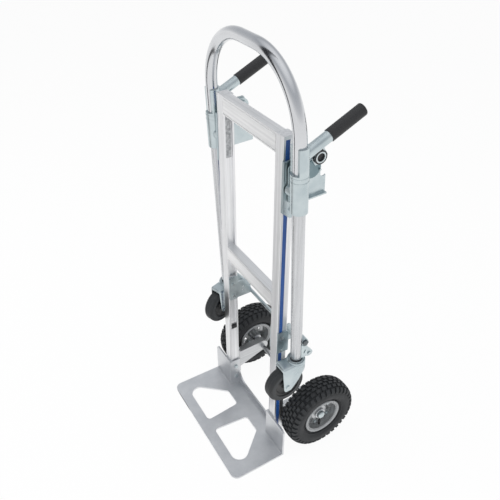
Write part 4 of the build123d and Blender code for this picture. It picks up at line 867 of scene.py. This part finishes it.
def fork_rows(outline, inset, caster):
    """Rings down one skin of the fork, from the stem hole to the lower edge."""
    rows = [crown_ring(outline, k / CROWN_STEPS, -inset, caster) for k in range(CROWN_STEPS + 1)]
    rows += [bend_ring(outline, pi / 2 * k / BEND_STEPS, inset, caster) for k in range(1, BEND_STEPS + 1)]
    return rows + [leg_ring(outline, k / LEG_STEPS, inset, caster) for k in range(1, LEG_STEPS + 1)]


def add_fork(side):
    """Pressed fork: a crown with a bent edge that runs down into two legs, of one sheet."""
    caster = CasterFrame(side)
    outline = crown_outline()
    outer = fork_rows(outline, 0.0, caster)
    inner = fork_rows(outline, FORK_SHEET, caster)
    bm = bmesh.new()
    skin(bm, outer + inner[::-1], closed=True)
    make_piece(f"fork_shell_{side}", bm, "zinc", f"caster_swivel_{side}", [f"caster_fork_{side}"], sharp=40.0)


def add_stem_parts(side):
    """Rolled edge of the bearing on the crown, and a black ring between it and the end of the leg, painted
    shade for the dark gap there.
    """
    caster = CasterFrame(side)
    stem = Axle(caster.origin, caster.z, caster.x, caster.y)
    bm = bmesh.new()
    turned_ring(bm, stem, BEARING_EDGE, MEDIUM_ROUND)
    make_piece(f"bearing_edge_{side}", bm, "zinc", f"caster_swivel_{side}")
    # Black ring in the gap below the leg's end: painted shade.
    bm = bmesh.new()
    turned_ring(bm, stem, STEM_GAP_SHADE, MEDIUM_ROUND)
    make_piece(f"stem_gap_shade_{side}", bm, "black", "handle")


def add_caster_tyre(side):
    """Solid tyre with rounded shoulders, two fine grooves and a faint flat in the middle."""
    node = f"caster_tyre_{side}"
    outline = [(-TYRE_HALF, TYRE_INNER)]
    for k in range(SHOULDER_STEPS + 1):
        angle = pi - pi / 2 * k / SHOULDER_STEPS
        outline.append((-TYRE_HALF + TYRE_SHOULDER + TYRE_SHOULDER * cos(angle),
                        TYRE_OUTER - TYRE_SHOULDER + TYRE_SHOULDER * sin(angle)))
    outline += [(along, TYRE_OUTER - depth) for along, depth in TYRE_GROOVE]
    outline += [(-along, radius) for along, radius in reversed(outline)]
    bm = bmesh.new()
    turned_ring(bm, node_axle(node, CasterFrame(side).x), outline)
    make_piece(f"solid_tyre_{side}", bm, "caster", f"caster_wheel_{side}", [node], sharp=30.0)


def add_caster_core(side):
    """Black moulded core of the caster wheel, with a dished face, a raised ring and a boss."""
    outline = [(along, radius) for radius, along in CORE_HALF]
    outline += [(-along, radius) for along, radius in reversed(outline)]
    bm = bmesh.new()
    turned_ring(bm, node_axle(f"caster_tyre_{side}", CasterFrame(side).x), outline)
    make_piece(f"moulded_core_{side}", bm, "core", f"caster_wheel_{side}", [f"caster_hub_{side}"], sharp=30.0)


# --- sleeves -----------------------------------------------------------------------------

# Turned outlines in the hexagon barrel: (distance out from its face, radius).
# The black ring and the black cone in the bore are painted shade: the shadowed gap round the bushing, and the
# dark inside of the hollow pin.
BARREL_SHADE_RING = ((-0.5, 18.6), (0.8, 18.6), (1.1, 18.2), (1.1, 15.2), (-0.5, 15.2))
BARREL_BORE_SHADE = ((-9.0, 10.6), (-4.0, 10.6), (-3.4, 8.0))
BARREL_BUSHING = ((-3.0, 15.0), (1.4, 15.0), (2.0, 14.2), (2.0, 12.0), (1.4, 11.0), (-3.0, 11.0))
# The cheek's disc, dark as painted shade where the cheek's round back lies in shadow: how far it lies
# before and below the barrel, and its outline as (distance out from the release lever's inner side, radius).
DISC_BEFORE = 13.7
DISC_BELOW = 33.5
CHEEK_SHADE_DISC = ((9.9, 25.2), (10.6, 25.2), (11.3, 24.2), (11.3, 19.0), (10.9, 18.0))


def add_barrel_shade_and_ring(side, s):
    """What shows in the lever pin's hexagon barrel: a black ring as painted shade in the gap round a bright
    bushing, and a black cone as painted shade in the bore.
    """
    node = f"lever_pin_{side}"
    face = node_size(node)[X] / 2
    shade_ring, plug, bushing = [[(face + out, radius) for out, radius in outline]
                             for outline in (BARREL_SHADE_RING, BARREL_BORE_SHADE, BARREL_BUSHING)]
    axle = node_axle(node)
    bm = bmesh.new()
    # Black ring and cone: painted shade in the barrel.
    turned_ring(bm, axle, shade_ring, MEDIUM_ROUND, s)
    turned_knob(bm, axle, plug, way=s)
    make_piece(f"barrel_painted_shade_{side}", bm, "black", "sleeves")
    bm = bmesh.new()
    turned_ring(bm, axle, bushing, MEDIUM_ROUND, s)
    make_piece(f"barrel_ring_{side}", bm, "bolt", "sleeves")


def add_cheek_disc(side, s):
    """Dark disc on the outer face of the sleeve's cheek, below the hexagon barrel: painted shade where the
    cheek's round back lies in shadow.
    """
    pin = node_axle(f"lever_pin_{side}")
    centre = pin.centre - MM * Vector((0.0, DISC_BEFORE, DISC_BELOW))
    centre.x = near_x(f"release_lever_{side}", s)
    bm = bmesh.new()
    turned_knob(bm, Axle(centre, pin.axis, pin.side, pin.up), CHEEK_SHADE_DISC, MEDIUM_ROUND, s)
    make_piece(f"cheek_shade_disc_{side}", bm, "zinc_painted_deep_shade", "sleeves")


# --- rails -------------------------------------------------------------------------------

# What lies in the rails' inner channels: the play on each side of it and the chamfer of its edges.
FILLER_PLAY, FILLER_EDGE = 0.2, 0.4
PLUG_PLAY, PLUG_EDGE = 0.3, 1.2
PANEL_PLAY, PANEL_EDGE = 1.2, 0.2
# The fillers stop behind the rail's face, over the foot of a node and below its top.
FILLER_BACK, FILLER_FOOT = 0.1, 1.0
TONGUE_TOP, PACKING_TOP = 0.2, 4.0
# Where plug and panel begin and end: depths from the channel's floor, and heights.
PLUG_DEPTHS, PLUG_OVER_INSERT = (0.1, 6.5), (0.5, 11.5)
PANEL_DEPTHS, PANEL_UNDER_BAR = (-0.05, 0.5), (137.0, 8.0)

# Outer face of the pivot plate and the bracket edge that is pressed on it: (y, z) from the plate's
# own front lower corner.
PLATE_FACE = ((-1.5, 22.0), (-1.5, 166.0), (35.0, 166.0), (35.0, 8.0), (30.0, 2.0), (22.0, 1.0))
PLATE_EDGE = (
    (-1.5, 22.0), (-1.5, 166.0), (6.5, 166.0), (6.8, 130.0), (9.0, 104.0), (13.0, 82.0),
    (18.5, 66.0), (25.5, 54.0), (32.0, 47.0), (39.0, 43.0), (40.0, 41.0), (40.0, 8.0),
    (36.0, 2.0), (22.0, 1.0),
)
PLATE_BEVEL = 0.6
EDGE_SHEET = 2.0


def channel_floor(s):
    """X of the floor of a rail's inner channel."""
    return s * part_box("channel_inserts")[1][X]


def add_channel_block(name, finish, x_span, z_span, play, edge):
    """Add a chamfered block that lies in a rail's inner channel."""
    low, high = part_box("channel_inserts")
    (x0, x1), (z0, z1) = x_span, z_span
    bm = bmesh.new()
    rounded_block(bm, (x0, low[Y] + play * MM, z0), (x1, high[Y] - play * MM, z1), edge * MM)
    make_piece(name, bm, finish, "frame")


def add_channel_parts(side, s):
    """What fills the inner channel behind bar and seat, and the rubber plug above the insert."""
    floor = channel_floor(s)
    face = near_x(f"rail_{side}", s) + s * FILLER_BACK * MM
    for name, node, finish, top in (("bar_tongue", "mid_crossbar", "bar", TONGUE_TOP),
                                    ("seat_packing", f"rod_seat_{side}", "rail", PACKING_TOP)):
        low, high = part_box(node)
        z_span = low[Z] + FILLER_FOOT * MM, high[Z] - top * MM
        add_channel_block(f"{name}_{side}", finish, (floor, face), z_span, FILLER_PLAY, FILLER_EDGE)
    insert_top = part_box("channel_inserts")[1][Z]
    x_span = [floor - s * depth * MM for depth in PLUG_DEPTHS]
    z_span = [insert_top + lift * MM for lift in PLUG_OVER_INSERT]
    add_channel_block(f"channel_plug_{side}", "black", x_span, z_span, PLUG_PLAY, PLUG_EDGE)


def add_bare_panel():
    """Plain film in the left rail's channel under the top crossbar, where the real one has its label."""
    bar_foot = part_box("top_crossbar")[0][Z]
    x_span = [channel_floor(-1) + depth * MM for depth in PANEL_DEPTHS]
    z_span = [bar_foot - drop * MM for drop in PANEL_UNDER_BAR]
    add_channel_block("bare_panel", "film", x_span, z_span, PANEL_PLAY, PANEL_EDGE)


def flat_plate(bm, corner, outline, x0, x1):
    """Plate across X, with its outer edge slightly cut back; outline points are (y, z) from a corner."""
    middle = Vector((sum(y for y, _ in outline), sum(z for _, z in outline))) / len(outline)
    step = PLATE_BEVEL if x1 > x0 else -PLATE_BEVEL
    rows = []
    for x, inset in ((x0, 0.0), (x1 - step, 0.0), (x1, PLATE_BEVEL)):
        ring = []
        for y, z in outline:
            pull = (Vector((y, z)) - middle).normalized() * inset
            ring.append(corner + MM * Vector((x, y - pull.x, z - pull.y)))
        rows.append(ring)
    capped_skin(bm, rows)


def add_pivot_bracket(side, s):
    """Plate on the rail that carries the sleeve's pivot, darker as painted shade, and the edge that hooks
    round below it in the plain zinc.
    """
    node = f"pivot_plate_{side}"
    thick = node_size(node)[X]
    corner = Vector(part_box(node)[0])
    corner.x = near_x(node, s)
    bm = bmesh.new()
    flat_plate(bm, corner, PLATE_FACE, 0.0, s * thick)
    # The plate in a darker copy of the zinc: painted shade.
    make_piece(f"pivot_bracket_{side}", bm, "zinc_painted_shade", "frame", [node])
    bm = bmesh.new()
    flat_plate(bm, corner, PLATE_EDGE, s * thick, s * (thick + EDGE_SHEET))
    make_piece(f"pivot_bracket_edge_{side}", bm, "zinc", "frame")


def add_pieces():
    """Everything modelled here, one side of the truck after the other."""
    for side, s in SIDES:
        add_tyre(side)
        add_rim_lips(side)
        add_spoke_ribs(side, s)
        add_rim_bolts(side, s)
        add_hub_trim(side, s)
        add_valve(side)
        add_fork(side)
        add_stem_parts(side)
        add_caster_tyre(side)
        add_caster_core(side)
        add_barrel_shade_and_ring(side, s)
        add_pivot_bracket(side, s)
        add_channel_parts(side, s)
        add_cheek_disc(side, s)
    add_bare_panel()


add_camera()
add_lights()
add_world()
add_floor()
finish_nodes()
add_pieces()

bpy.context.scene.view_settings.view_transform = "Standard"
